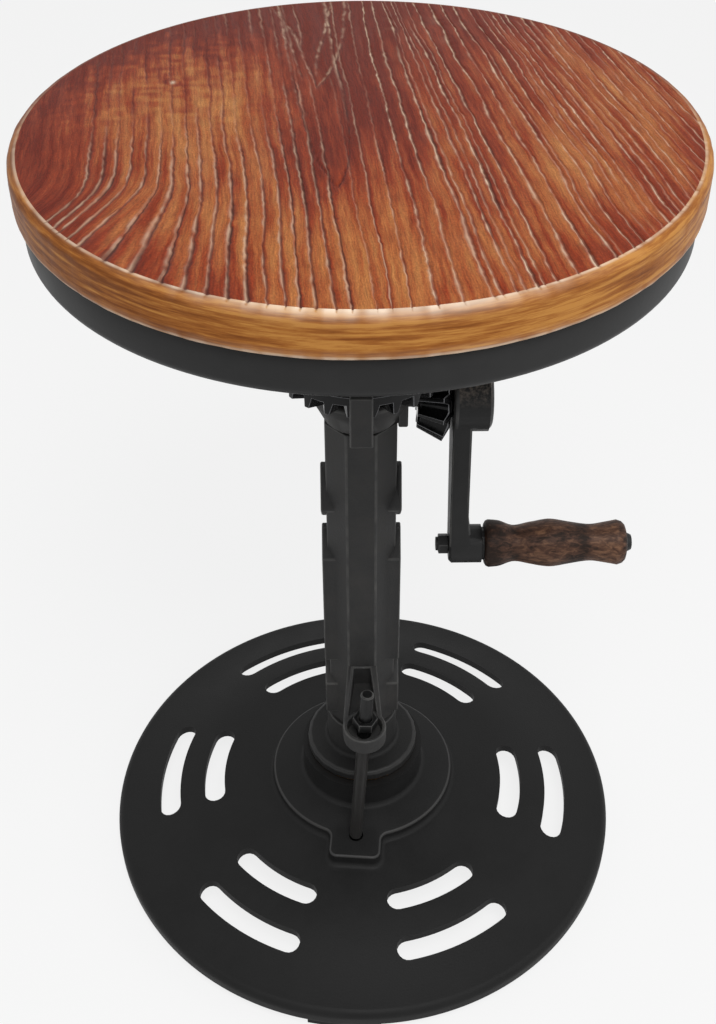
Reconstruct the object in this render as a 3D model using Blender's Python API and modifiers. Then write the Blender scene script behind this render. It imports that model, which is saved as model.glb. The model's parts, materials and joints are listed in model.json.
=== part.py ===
"""Crank-lift stool: round wooden seat on a lift screw, raised by a crank and bevel gears on a cast column.

Metres, +Z up. The floor is z = 0, the column stands on the Z axis, the crank is on the +X side
and -Y is the front.
"""

import math

import bmesh
import bpy
from mathutils import Matrix, Vector

# Fits between pieces
FIT = 0.0003
RUNNING_FIT = 0.0005

# Base casting
BASE_RADIUS = 0.168
BASE_TURN = math.radians(-4.5)
FOOT_HEIGHT = 0.0077
FOOT_WIDTH = 0.045
FOOT_DEPTH = 0.011
FOOT_COUNT = 4
RIM_HALF_HEIGHT = 0.006
RIM_EDGE_RADIUS = 0.0055
RIM_WIDTH = 0.012
CONE_SLOPE = 0.21
SHELL = 0.0065
PAD_RADIUS = 0.063
PAD_RISE = 0.003
HUB_RADIUS = 0.0395
HUB_FILLET = 0.004
HUB_HEIGHT = 0.0625
HUB_FLOOR = 0.022
BOSS_RADIUS = 0.026
EDGE = 0.0015

# Pierced slots in the base, in two rings of six
SLOT_COUNT = 6
SLOT_FIRST = math.radians(30)
OUTER_SLOT_RADIUS = 0.1335
OUTER_SLOT_ARC = math.radians(33.5)
INNER_SLOT_RADIUS = 0.1035
INNER_SLOT_ARC = math.radians(34.5)
SLOT_WIDTH = 0.0144

# Tab on the base that the lock pin drops into
TAB_WIDTH = 0.033
TAB_REACH = 0.079
TAB_HEIGHT = 0.043
TAB_DEPTH = 0.014
TAB_CORNER = 0.005

# Swivel pivot
PIVOT_RADIUS = 0.008
PIVOT_HEAD_FLATS = 0.024
PIVOT_HEAD_HEIGHT = 0.010
THRUST_WASHER_THICKNESS = 0.0014
PIVOT_WASHER_RADIUS = 0.0138
PIVOT_WASHER_THICKNESS = 0.002
PIVOT_NUT_HEIGHT = 0.013
PIVOT_END = 0.0025

# Column
COLUMN_FLATS = 0.040
COLUMN_LENGTH = 0.2717
COLUMN_BORE = 0.015
COLUMN_FLOOR = 0.0228
FLANGE_RADIUS = 0.036
FLANGE_THICKNESS = 0.007
COLLAR_RADIUS = 0.0225
COLLAR_HEIGHT = 0.034
CHEEK_PROUD = 0.003
CHEEK_HALF_WIDTH = 0.0132
CHEEK_ROOT = 0.0062
CHEEK_POINT = 0.002
# For each cheek: how far its tip, its shoulder, its lower corner and its lower end lie below the column's top
CHEEKS = (
    (0.035, 0.057, 0.060, 0.072),
    (0.081, 0.097, 0.182, 0.182),
    (0.192, 0.204, 0.230, 0.230),
)

# Lug on the column's front that carries the lock pin
LUG_REACH = 0.060
LUG_TOP = 0.180
LUG_ROOT_HEIGHT = 0.020
LUG_SLOPE = 0.009
LUG_ROOT_HALF_WIDTH = 0.0075
LUG_END_HALF_WIDTH = 0.0122
LUG_WALL = 0.0025
LUG_CHANNEL = 0.006
CUP_RADIUS = 0.0128
CUP_HEIGHT = 0.011
CUP_WALL = 0.0024
CUP_FLOOR = 0.004

# Lock pin, which leans from the lug's cup to the hole in the base's tab
PIN_RADIUS = 0.004
PIN_ABOVE_CUP = 0.028
PIN_TIP_GAP = 0.0006
PIN_DROP = 0.006
PIN_TOP_OFFSET = 0.0012
PIN_NUT_FLATS = 0.013
PIN_NUT_HEIGHT = 0.006
PIN_NUT_LIFT = 0.001
PIN_HOLE_SLACK = 0.0012

# Gear head on the column's top
HEAD_HEIGHT = 0.0202
HEAD_FOOT_RADIUS = 0.0205
HEAD_RADIUS = 0.027
HEAD_FLARE = 0.014
BOSS_REACH = 0.0256
BOSS_HALF_WIDTH = 0.011
BOSS_DROP = 0.002
RIB_HALF_WIDTH = 0.0054
RIB_REACH = 0.027
RIB_DROP = 0.002
HEAD_SCREW_RADIUS = 0.0016
HEAD_SCREW_HEAD_RADIUS = 0.0029
HEAD_SCREW_HEAD_HEIGHT = 0.003
HEAD_SCREW_CIRCLE = 0.0178
HEAD_SCREW_LENGTH = 0.026
KEY_HALF_WIDTH = 0.002
KEY_HEIGHT = 0.010
KEY_ABOVE_COLUMN = 0.006
KEY_DEPTH = 0.007

# Crank shaft, its bush and its keeper screw
CRANK_AXIS_ABOVE_COLUMN = 0.0115
SHAFT_RADIUS = 0.006
SHAFT_START = 0.014
BUSH_RADIUS = 0.0076
KEEPER_RADIUS = 0.0015
KEEPER_PLACE = 0.0229
KEEPER_GROOVE = 0.0012

# Bevel gears, whose pitch cones meet on the column's axis at the crank's height
PINION_TEETH = 12
GEAR_TEETH = 24
CONE_DISTANCE = 0.0502
TOOTH_FACE = 0.0156
ADDENDUM = 0.0027
DEDENDUM = 0.0036
TIP_SHARE = 0.11
ROOT_SHARE = 0.30
PINION_HUB_RADIUS = 0.012
GEAR_HUB_RADIUS = 0.020
GEAR_WEB = 0.0068
GEAR_WASHER_THICKNESS = 0.0014

# Lift nut and lift screw
NUT_RADIUS = 0.016
NUT_ABOVE_GEAR = 0.004
SCREW_RADIUS = 0.011
THREAD_DEPTH = 0.0022
THREAD_PITCH = 0.008
THREAD_ROWS = 3
KEYWAY_HALF_WIDTH = 0.0026
KEYWAY_FLOOR = 0.0082
SEAT_TRAVEL = 0.150
SCREW_SPARE = 0.016

# Crank arm and grip
CRANK_RADIUS = 0.092
CRANK_SWING = math.radians(-12.7)
CRANK_HUB_RADIUS = 0.0195
CRANK_HUB_START = 0.0495
CRANK_HUB_LENGTH = 0.0215
ARM_THICKNESS = 0.012
ARM_TOP_WIDTH = 0.030
ARM_END_WIDTH = 0.020
ARM_ROUND = 0.003
GRIP_HUB_RADIUS = 0.011
GRIP_HUB_LENGTH = 0.0185
CRANK_SCREW_RADIUS = 0.0025
GRIP_AXLE_RADIUS = 0.004
GRIP_NUT_FLATS = 0.0105
GRIP_NUT_HEIGHT = 0.0055
GRIP_WASHER_RADIUS = 0.0095
GRIP_WASHER_THICKNESS = 0.0012
GRIP_LENGTH = 0.0804
GRIP_END_RADIUS = 0.0138
GRIP_WAIST_RADIUS = 0.0107
GRIP_BELLY_RADIUS = 0.0138
GRIP_TIP_RADIUS = 0.0131
GRIP_CAP_RADIUS = 0.0058
GRIP_CAP_HEIGHT = 0.003

# Seat
CRANK_CLEARANCE = 0.0117
PAN_BOTTOM_RADIUS = 0.155
PAN_CORNER = 0.0058
PAN_RADIUS = PAN_BOTTOM_RADIUS + PAN_CORNER
PAN_HEIGHT = 0.0182
PAN_SHEET = 0.002
WOOD_OVERHANG = 0.0032
WOOD_RADIUS = PAN_RADIUS + WOOD_OVERHANG
WOOD_THICKNESS = 0.022
WOOD_TOP_ROUND = 0.0045
WOOD_LOWER_ROUND = 0.003
SEAT_FLANGE_RADIUS = 0.050
SEAT_FLANGE_THICKNESS = 0.006
SEAT_BOSS_RADIUS = 0.020
SEAT_BOSS_HEIGHT = 0.022
SEAT_SCREW_COUNT = 4
SEAT_SCREW_CIRCLE = 0.038
SEAT_SCREW_RADIUS = 0.0024
SEAT_SCREW_HEAD_RADIUS = 0.0045
SEAT_SCREW_HEAD_HEIGHT = 0.0028
SEAT_SCREW_BITE = 0.012
CROSS_PIN_RADIUS = 0.0025
CROSS_PIN_DROP = 0.012

# Facets round the turned pieces
FACETS_LARGE = 40
FACETS_MEDIUM = 24
FACETS_SMALL = 14

# Heights worked up from the floor
RIM_Z = FOOT_HEIGHT + FIT
EQUATOR_Z = RIM_Z + RIM_HALF_HEIGHT
HUB_TOP_Z = RIM_Z + HUB_HEIGHT
HUB_FLOOR_Z = RIM_Z + HUB_FLOOR
TAB_TOP_Z = RIM_Z + TAB_HEIGHT
COLUMN_FOOT_Z = HUB_TOP_Z + THRUST_WASHER_THICKNESS + 2 * FIT
COLUMN_FLOOR_Z = COLUMN_FOOT_Z + COLUMN_FLOOR
COLUMN_TOP_Z = COLUMN_FOOT_Z + COLUMN_LENGTH
PIVOT_NUT_Z = COLUMN_FLOOR_Z + PIVOT_WASHER_THICKNESS + 2 * FIT
CUP_TOP_Z = COLUMN_TOP_Z - LUG_TOP - LUG_SLOPE
CUP_FLOOR_Z = CUP_TOP_Z - CUP_HEIGHT + CUP_FLOOR
HEAD_FOOT_Z = COLUMN_TOP_Z + FIT
HEAD_TOP_Z = HEAD_FOOT_Z + HEAD_HEIGHT
CRANK_Z = COLUMN_TOP_Z + CRANK_AXIS_ABOVE_COLUMN
GEAR_FOOT_Z = HEAD_TOP_Z + GEAR_WASHER_THICKNESS + 2 * FIT

# Bevel gear cones
PINION_ANGLE = math.atan2(PINION_TEETH, GEAR_TEETH)
INNER_DISTANCE = CONE_DISTANCE - TOOTH_FACE
GEAR_ROOT_Z = CRANK_Z + CONE_DISTANCE * math.sin(PINION_ANGLE) + DEDENDUM * math.cos(PINION_ANGLE)
GEAR_TOP_Z = GEAR_ROOT_Z + GEAR_WEB
NUT_TOP_Z = GEAR_TOP_Z + NUT_ABOVE_GEAR
SCREW_BORE = SCREW_RADIUS + RUNNING_FIT

# Crank stack along X
CRANK_AXIS = Vector((0, 0, CRANK_Z))
CRANK_TURN = Matrix.Translation(CRANK_AXIS) @ Matrix.Rotation(CRANK_SWING, 4, "X")
CRANK_HUB_END = CRANK_HUB_START + CRANK_HUB_LENGTH
GRIP_HUB_END = CRANK_HUB_START + GRIP_HUB_LENGTH
GRIP_START = GRIP_HUB_END + GRIP_WASHER_THICKNESS + 2 * FIT
GRIP_END = GRIP_START + GRIP_LENGTH
GRIP_REACH = max(GRIP_END_RADIUS, GRIP_BELLY_RADIUS, GRIP_TIP_RADIUS)

# Seat heights at its lowest place, where the crank just clears the pan
PAN_Z = CRANK_Z + CRANK_RADIUS + GRIP_REACH + CRANK_CLEARANCE
PAN_TOP_Z = PAN_Z + PAN_HEIGHT
WOOD_Z = PAN_TOP_Z + FIT
WOOD_TOP_Z = WOOD_Z + WOOD_THICKNESS
SEAT_FLANGE_Z = PAN_Z - FIT - SEAT_FLANGE_THICKNESS
SEAT_BOSS_Z = SEAT_FLANGE_Z - SEAT_BOSS_HEIGHT
SCREW_TOP_Z = SEAT_FLANGE_Z - FIT
SCREW_FOOT_Z = GEAR_FOOT_Z - SEAT_TRAVEL - SCREW_SPARE
CROSS_PIN_Z = SEAT_FLANGE_Z - CROSS_PIN_DROP

# Lock pin's line, from the tab's hole up through the cup
TAB_HOLE = Matrix.Rotation(BASE_TURN, 3, "Z") @ Vector((0, -LUG_REACH, TAB_TOP_Z))
PIN_CUP = Vector((PIN_TOP_OFFSET, TAB_HOLE.y, CUP_TOP_Z))
PIN_LINE = (PIN_CUP - TAB_HOLE).normalized()


def collection(name):
    found = bpy.data.collections.new(name)
    bpy.context.scene.collection.children.link(found)
    return found


for old in list(bpy.data.objects):
    bpy.data.objects.remove(old, do_unlink=True)
PARTS = collection("crank_stool")
CUTTERS = collection("stool_cutters")


def finish(name, colour, roughness, metallic):
    material = bpy.data.materials.new(name)
    material.use_nodes = True
    shader = material.node_tree.nodes["Principled BSDF"]
    shader.inputs["Base Color"].default_value = (*colour, 1)
    shader.inputs["Roughness"].default_value = roughness
    shader.inputs["Metallic"].default_value = metallic
    return material


BLACK_IRON = finish("black_cast_iron", (0.020, 0.019, 0.018), 0.55, 0.3)
BLACK_STEEL = finish("black_steel", (0.028, 0.027, 0.026), 0.42, 0.6)
GREASED_STEEL = finish("greased_steel", (0.012, 0.012, 0.012), 0.25, 0.7)
BRIGHT_STEEL = finish("bright_steel", (0.42, 0.41, 0.39), 0.35, 1.0)
BRONZE = finish("bearing_bronze", (0.42, 0.26, 0.10), 0.38, 1.0)
RUBBER = finish("black_rubber", (0.015, 0.015, 0.015), 0.85, 0.0)
SEAT_TIMBER = finish("stained_timber", (0.190, 0.070, 0.030), 0.50, 0.0)
GRIP_TIMBER = finish("burnt_timber", (0.050, 0.024, 0.014), 0.50, 0.0)


def axis_empty(name, place, parent=None):
    """Marks a joint's axis; pieces parented to it turn or slide about it."""
    empty = bpy.data.objects.new(name, None)
    PARTS.objects.link(empty)
    empty.location = place
    empty.empty_display_size = 0.03
    if parent:
        empty.parent = parent
        empty.matrix_parent_inverse = Matrix.Translation(parent["place"]).inverted()
    empty["place"] = list(place)
    return empty


def carry(empty, *pieces):
    for piece in pieces:
        piece.parent = empty
        piece.matrix_parent_inverse = Matrix.Translation(empty["place"]).inverted()


def add_mesh(name, mesh, material):
    """A named piece, or a cutter where no material is given."""
    obj = bpy.data.objects.new(name, mesh)
    if material:
        mesh.materials.append(material)
        PARTS.objects.link(obj)
    else:
        hide(obj)
    mesh.shade_smooth()
    mesh.set_sharp_from_angle(angle=math.radians(35))
    return obj


def hide(obj):
    for holder in list(obj.users_collection):
        holder.objects.unlink(obj)
    CUTTERS.objects.link(obj)
    obj.hide_render = True
    obj.display_type = "WIRE"


def mesh_from(name, form):
    mesh = bpy.data.meshes.new(name)
    form.to_mesh(mesh)
    form.free()
    return mesh


def rod(name, start, end, radius, material=None, sides=FACETS_SMALL, end_radius=None):
    """A round or many-sided bar between two points."""
    start, end = Vector(start), Vector(end)
    along = end - start
    turn = along.to_track_quat("Z", "Y").to_matrix().to_4x4()
    form = bmesh.new()
    bmesh.ops.create_cone(
        form,
        cap_ends=True,
        segments=sides,
        radius1=radius,
        radius2=radius if end_radius is None else end_radius,
        depth=along.length,
        matrix=Matrix.Translation((start + end) / 2) @ turn,
    )
    return add_mesh(name, mesh_from(name, form), material)


def hex_rod(name, start, end, flats, material=None):
    return rod(name, start, end, flats / 2 / math.cos(math.pi / 6), material, sides=6)


def block(name, low, high, material=None):
    low, high = Vector(low), Vector(high)
    form = bmesh.new()
    bmesh.ops.create_cube(
        form,
        matrix=Matrix.Translation((low + high) / 2) @ Matrix.Diagonal((*(high - low), 1)),
    )
    return add_mesh(name, mesh_from(name, form), material)


def turned(name, profile, material=None, steps=FACETS_MEDIUM, turn=None):
    """Spins (radius, height) points about Z; points off the axis make a closed ring."""
    mesh = bpy.data.meshes.new(name)
    edges = [(i, i + 1) for i in range(len(profile) - 1)]
    if profile[0][0] > 0 and profile[-1][0] > 0:
        edges.append((len(profile) - 1, 0))
    mesh.from_pydata([(r, 0, z) for r, z in profile], edges, [])
    obj = add_mesh(name, mesh, material)
    if turn:
        obj.matrix_world = turn
    spin = obj.modifiers.new("spin", "SCREW")
    spin.steps = steps
    spin.render_steps = steps
    spin.use_merge_vertices = True
    spin.merge_threshold = 0.00001
    spin.use_smooth_shade = True
    return obj


ALONG_X = Matrix.Rotation(math.pi / 2, 4, "Y")


def ring(name, inner, outer, low, high, material=None, steps=FACETS_MEDIUM, turn=None):
    profile = [(inner, high), (outer, high), (outer, low), (inner, low)]
    return turned(name, profile, material, steps, turn)


def slab(name, points, low, high, material=None, turn=None):
    """A flat outline in X and Y, filled from one height to another."""
    curve = bpy.data.curves.new(name, "CURVE")
    curve.dimensions = "2D"
    curve.fill_mode = "BOTH"
    curve.extrude = (high - low) / 2
    spline = curve.splines.new("POLY")
    spline.points.add(len(points) - 1)
    for point, (x, y) in zip(spline.points, points):
        point.co = (x, y, 0, 1)
    spline.use_cyclic_u = True
    drawn = bpy.data.objects.new(name + "_outline", curve)
    CUTTERS.objects.link(drawn)
    graph = bpy.context.evaluated_depsgraph_get()
    mesh = bpy.data.meshes.new_from_object(drawn.evaluated_get(graph))
    bpy.data.objects.remove(drawn, do_unlink=True)
    form = bmesh.new()
    form.from_mesh(mesh)
    bmesh.ops.remove_doubles(form, verts=form.verts, dist=0.000001)
    bmesh.ops.translate(form, verts=form.verts, vec=(0, 0, (low + high) / 2))
    if turn:
        bmesh.ops.transform(form, verts=form.verts, matrix=turn)
    bmesh.ops.recalc_face_normals(form, faces=form.faces)
    return add_mesh(name, mesh_from(name, form), material)


def copies(name, source, turns):
    """One cutter or joiner made of turned copies of another, which is removed."""
    form = bmesh.new()
    for turn in turns:
        mesh = source.data.copy()
        mesh.transform(turn)
        form.from_mesh(mesh)
    bpy.data.objects.remove(source, do_unlink=True)
    return add_mesh(name, mesh_from(name, form), None)


def combine(target, other, operation):
    change = target.modifiers.new(other.name, "BOOLEAN")
    change.operation = operation
    change.object = other
    change.solver = "EXACT"
    hide(other)


def cut(target, *others):
    for other in others:
        combine(target, other, "DIFFERENCE")


def join(target, *others):
    for other in others:
        combine(target, other, "UNION")


def soften(obj, width, segments=2):
    bevel = obj.modifiers.new("soften", "BEVEL")
    bevel.width = width
    bevel.segments = segments
    bevel.limit_method = "ANGLE"
    bevel.angle_limit = math.radians(40)
    bevel.use_clamp_overlap = True


def arc(centre_r, centre_z, radius, start, end, count):
    """Points on a round stretch of a profile, angles in degrees from +r towards +z."""
    sweep = [math.radians(start + (end - start) * i / count) for i in range(count + 1)]
    return [(centre_r + radius * math.cos(a), centre_z + radius * math.sin(a)) for a in sweep]


def round_turns(count, first=0.0):
    return [Matrix.Rotation(first + 2 * math.pi * i / count, 4, "Z") for i in range(count)]


def lofted_ring(name, sections, to_world, material):
    """Joins closed sections set round an axis; each section holds (radius, height) points."""
    form = bmesh.new()
    loops = []
    for angle, section in sections:
        loops.append([form.verts.new(to_world(angle, r, h)) for r, h in section])
    for loop, after in zip(loops, loops[1:] + loops[:1]):
        for i in range(len(loop)):
            k = (i + 1) % len(loop)
            form.faces.new((loop[i], loop[k], after[k], after[i]))
    bmesh.ops.recalc_face_normals(form, faces=form.faces)
    return add_mesh(name, mesh_from(name, form), material)


def tooth_steps(teeth, first):
    """Angles round a gear with 1 on a tooth's tip and 0 at its root."""
    pitch = 2 * math.pi / teeth
    shape = ((-ROOT_SHARE, 0), (-TIP_SHARE, 1), (TIP_SHARE, 1), (ROOT_SHARE, 0))
    return [(first + pitch * (i + share), high) for i in range(teeth) for share, high in shape]


def cone_z(radius):
    """Height of the base's sloping top."""
    edge_r = BASE_RADIUS - RIM_EDGE_RADIUS
    return EQUATOR_Z + RIM_EDGE_RADIUS + CONE_SLOPE * (edge_r - radius)


def slot_outline(radius, arc_angle):
    """A slot that follows a circle about the axis, with round ends, centred on -Y."""
    half = SLOT_WIDTH / 2
    bend = arc_angle / 2 - half / radius
    steps = 4
    points = []
    for side in (1, -1):
        for i in range(steps + 1):
            a = side * bend * (2 * i / steps - 1)
            reach = radius + side * half
            points.append((reach * math.sin(a), -reach * math.cos(a)))
        end = side * bend
        start = end if side > 0 else end + math.pi
        for i in range(1, steps):
            turn = start + math.pi * i / steps
            x = radius * math.sin(end) + half * math.sin(turn)
            y = -radius * math.cos(end) - half * math.cos(turn)
            points.append((x, y))
    return points


def make_base(body):
    rim_r = BASE_RADIUS - RIM_EDGE_RADIUS
    pad_top = cone_z(PAD_RADIUS) + PAD_RISE
    fillet_r = HUB_RADIUS + HUB_FILLET
    hub_foot = cone_z(fillet_r) + PAD_RISE
    under_r = BASE_RADIUS - RIM_WIDTH
    bore = PIVOT_RADIUS + FIT
    profile = [
        (bore, HUB_TOP_Z),
        (HUB_RADIUS - EDGE, HUB_TOP_Z),
        (HUB_RADIUS, HUB_TOP_Z - EDGE),
        *arc(fillet_r, hub_foot + HUB_FILLET, HUB_FILLET, 180, 270, 2),
        (PAD_RADIUS - EDGE, pad_top),
        (PAD_RADIUS, pad_top - EDGE),
        (PAD_RADIUS + EDGE, cone_z(PAD_RADIUS + EDGE)),
        *arc(rim_r, EQUATOR_Z, RIM_EDGE_RADIUS, 78, 0, 3),
        (BASE_RADIUS, EQUATOR_Z - RIM_HALF_HEIGHT / 2),
        (BASE_RADIUS - EDGE, RIM_Z),
        (under_r, RIM_Z),
        (under_r - EDGE, cone_z(under_r) - SHELL),
        (BOSS_RADIUS + EDGE, cone_z(BOSS_RADIUS) - SHELL),
        (BOSS_RADIUS, HUB_FLOOR_Z),
        (bore, HUB_FLOOR_Z),
    ]
    plate = turned("base_plate", profile, BLACK_IRON, FACETS_LARGE)
    half = TAB_WIDTH / 2
    outline = [
        (-half, 0),
        (-half, -TAB_REACH + TAB_CORNER),
        (-half + TAB_CORNER, -TAB_REACH),
        (half - TAB_CORNER, -TAB_REACH),
        (half, -TAB_REACH + TAB_CORNER),
        (half, 0),
    ]
    at_base = Matrix.Rotation(BASE_TURN, 4, "Z")
    tab = slab("tab_joiner", outline, TAB_TOP_Z - TAB_DEPTH, TAB_TOP_Z, None, at_base)
    soften(tab, EDGE)
    hub_hole = rod("tab_hub_cutter", (0, 0, 0), (0, 0, HUB_TOP_Z), HUB_RADIUS - EDGE)
    cut(tab, hub_hole)
    join(plate, tab)
    down = Vector((0, 0, PIN_DROP + 2 * PIN_HOLE_SLACK))
    up = Vector((0, 0, EDGE))
    cut(plate, rod("tab_hole_cutter", TAB_HOLE - down, TAB_HOLE + up, PIN_RADIUS + PIN_HOLE_SLACK))
    turns = round_turns(SLOT_COUNT, SLOT_FIRST + BASE_TURN)
    for name, radius, sweep in (
        ("outer_slot", OUTER_SLOT_RADIUS, OUTER_SLOT_ARC),
        ("inner_slot", INNER_SLOT_RADIUS, INNER_SLOT_ARC),
    ):
        one = slab(name, slot_outline(radius, sweep), 0, HUB_TOP_Z)
        cut(plate, copies(name + "_cutters", one, turns))
    carry(body, plate)


def make_feet(body):
    """Pads under the rim, one below the tab and the rest a quarter turn apart."""
    outer = BASE_RADIUS - 2 * EDGE
    inner = outer - FOOT_DEPTH
    bend = FOOT_WIDTH / 2 / outer
    count = 4
    angles = [bend * (2 * i / count - 1) for i in range(count + 1)]
    outline = [(outer * math.sin(a), -outer * math.cos(a)) for a in angles]
    outline += [(inner * math.sin(a), -inner * math.cos(a)) for a in reversed(angles)]
    for number, turn in enumerate(round_turns(FOOT_COUNT, BASE_TURN), 1):
        foot = slab(f"foot_pad_{number}", outline, 0, FOOT_HEIGHT, RUBBER, turn)
        carry(body, foot)


def make_pivot(body):
    head_top = HUB_FLOOR_Z - FIT
    nut_top = PIVOT_NUT_Z + PIVOT_NUT_HEIGHT
    bolt_end = (0, 0, nut_top + PIVOT_END)
    bolt = rod("pivot_bolt", (0, 0, head_top - EDGE), bolt_end, PIVOT_RADIUS, BLACK_STEEL)
    head_low = head_top - PIVOT_HEAD_HEIGHT
    head = hex_rod("pivot_head_joiner", (0, 0, head_low), (0, 0, head_top), PIVOT_HEAD_FLATS)
    join(bolt, head)
    bore = PIVOT_RADIUS + FIT
    low = HUB_TOP_Z + FIT
    thrust = ring("thrust_washer", bore, FLANGE_RADIUS - EDGE, low, low + THRUST_WASHER_THICKNESS, BRONZE)
    low = COLUMN_FLOOR_Z + FIT
    washer = ring("pivot_washer", bore, PIVOT_WASHER_RADIUS, low, low + PIVOT_WASHER_THICKNESS, BRIGHT_STEEL)
    nut = hex_rod("pivot_nut", (0, 0, PIVOT_NUT_Z), (0, 0, nut_top), PIVOT_HEAD_FLATS, BLACK_STEEL)
    cut(nut, rod("pivot_nut_bore", (0, 0, HUB_TOP_Z), (0, 0, COLUMN_TOP_Z), bore))
    carry(body, bolt, thrust, washer, nut)


def cheek_outline(tip, shoulder, corner, end):
    """A cheek seen from the side, pointed at the top, as (height, breadth)."""
    half = CHEEK_HALF_WIDTH
    side = [(tip, CHEEK_POINT), (shoulder, half), (corner, half)]
    if end > corner:
        side.append((end, CHEEK_POINT))
    heights = [(COLUMN_TOP_Z - drop, breadth) for drop, breadth in side]
    return heights + [(z, -breadth) for z, breadth in reversed(heights)]


def make_lug():
    """Channel-shaped arm from the column's front to the lock pin's cup."""
    root = COLUMN_FLATS / 2 - EDGE
    top = CUP_TOP_Z + LUG_SLOPE
    side = [
        (-root, top),
        (-LUG_REACH, CUP_TOP_Z - EDGE),
        (-LUG_REACH, CUP_TOP_Z - CUP_HEIGHT + EDGE),
        (-root, top - LUG_ROOT_HEIGHT),
    ]
    stand = Matrix(((0, 0, 1, 0), (1, 0, 0, 0), (0, 1, 0, 0), (0, 0, 0, 1)))
    lug = slab("lug_joiner", side, -CUP_RADIUS, CUP_RADIUS, None, stand)
    plan = [
        (-LUG_ROOT_HALF_WIDTH, 0),
        (-LUG_END_HALF_WIDTH, -LUG_REACH - EDGE),
        (LUG_END_HALF_WIDTH, -LUG_REACH - EDGE),
        (LUG_ROOT_HALF_WIDTH, 0),
    ]
    combine(lug, slab("lug_plan", plan, CUP_TOP_Z - LUG_ROOT_HEIGHT, top + EDGE), "INTERSECT")
    inside = [(x - math.copysign(LUG_WALL, x), y) for x, y in plan]
    inside[0] = (inside[0][0], -root - LUG_WALL)
    inside[3] = (inside[3][0], -root - LUG_WALL)
    cut(lug, slab("lug_channel", inside, CUP_TOP_Z - LUG_CHANNEL, top + EDGE))
    return lug


def make_column(body):
    corner = COLUMN_FLATS / 2 / math.cos(math.pi / 8)
    column = rod("column", (0, 0, COLUMN_FOOT_Z + EDGE), (0, 0, COLUMN_TOP_Z), corner, BLACK_IRON, sides=8)
    column.data.transform(Matrix.Rotation(math.pi / 8, 4, "Z"))
    flange_top = COLUMN_FOOT_Z + FLANGE_THICKNESS
    collar_top = COLUMN_FOOT_Z + COLLAR_HEIGHT
    foot = [
        (0, collar_top),
        (COLLAR_RADIUS, collar_top),
        (COLLAR_RADIUS, flange_top + 2 * EDGE),
        (COLLAR_RADIUS + 2 * EDGE, flange_top),
        (FLANGE_RADIUS - EDGE, flange_top),
        (FLANGE_RADIUS, flange_top - EDGE),
        (FLANGE_RADIUS, COLUMN_FOOT_Z),
        (0, COLUMN_FOOT_Z),
    ]
    join(column, turned("column_foot_joiner", foot))
    stand = Matrix(((0, 0, 1, 0), (0, 1, 0, 0), (1, 0, 0, 0), (0, 0, 0, 1)))
    high = COLUMN_FLATS / 2 + CHEEK_PROUD
    low = COLUMN_FLATS / 2 - CHEEK_ROOT
    sides = [Matrix.Identity(4), Matrix.Rotation(math.pi, 4, "Z")]
    for number, levels in enumerate(CHEEKS, 1):
        cheek = slab(f"cheek_{number}", cheek_outline(*levels), low, high, None, stand)
        join(column, copies(f"cheek_{number}_joiner", cheek, sides))
    join(column, make_lug())
    cup_foot = Vector((PIN_CUP.x, PIN_CUP.y, CUP_TOP_Z - CUP_HEIGHT))
    join(column, rod("cup_joiner", cup_foot, PIN_CUP, CUP_RADIUS, sides=FACETS_MEDIUM))
    over = Vector((0, 0, LUG_SLOPE))
    cup_inside = Vector((PIN_CUP.x, PIN_CUP.y, CUP_FLOOR_Z))
    cut(column, rod("cup_recess", cup_inside, PIN_CUP + over, CUP_RADIUS - CUP_WALL, sides=FACETS_MEDIUM))
    through = PIN_LINE * (CUP_HEIGHT + EDGE)
    cut(column, rod("cup_bore", PIN_CUP - through, PIN_CUP, PIN_RADIUS + RUNNING_FIT))
    bore = [
        (0, COLUMN_TOP_Z + EDGE),
        (COLUMN_BORE, COLUMN_TOP_Z + EDGE),
        (COLUMN_BORE, COLUMN_FLOOR_Z),
        (PIVOT_RADIUS + RUNNING_FIT, COLUMN_FLOOR_Z),
        (PIVOT_RADIUS + RUNNING_FIT, COLUMN_FOOT_Z - EDGE),
        (0, COLUMN_FOOT_Z - EDGE),
    ]
    cut(column, turned("column_bore_cutter", bore))
    cut(column, head_screw_cutter("column_screw_holes", HEAD_SCREW_RADIUS + FIT))
    carry(body, column)


def head_screw_cutter(name, radius):
    """Holes for the four screws, down from the gear head's top."""
    low = HEAD_TOP_Z - HEAD_SCREW_LENGTH - EDGE
    high = HEAD_TOP_Z + EDGE
    one = rod(name + "_one", (HEAD_SCREW_CIRCLE, 0, low), (HEAD_SCREW_CIRCLE, 0, high), radius, sides=12)
    return copies(name, one, round_turns(4, math.pi / 4))


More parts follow.
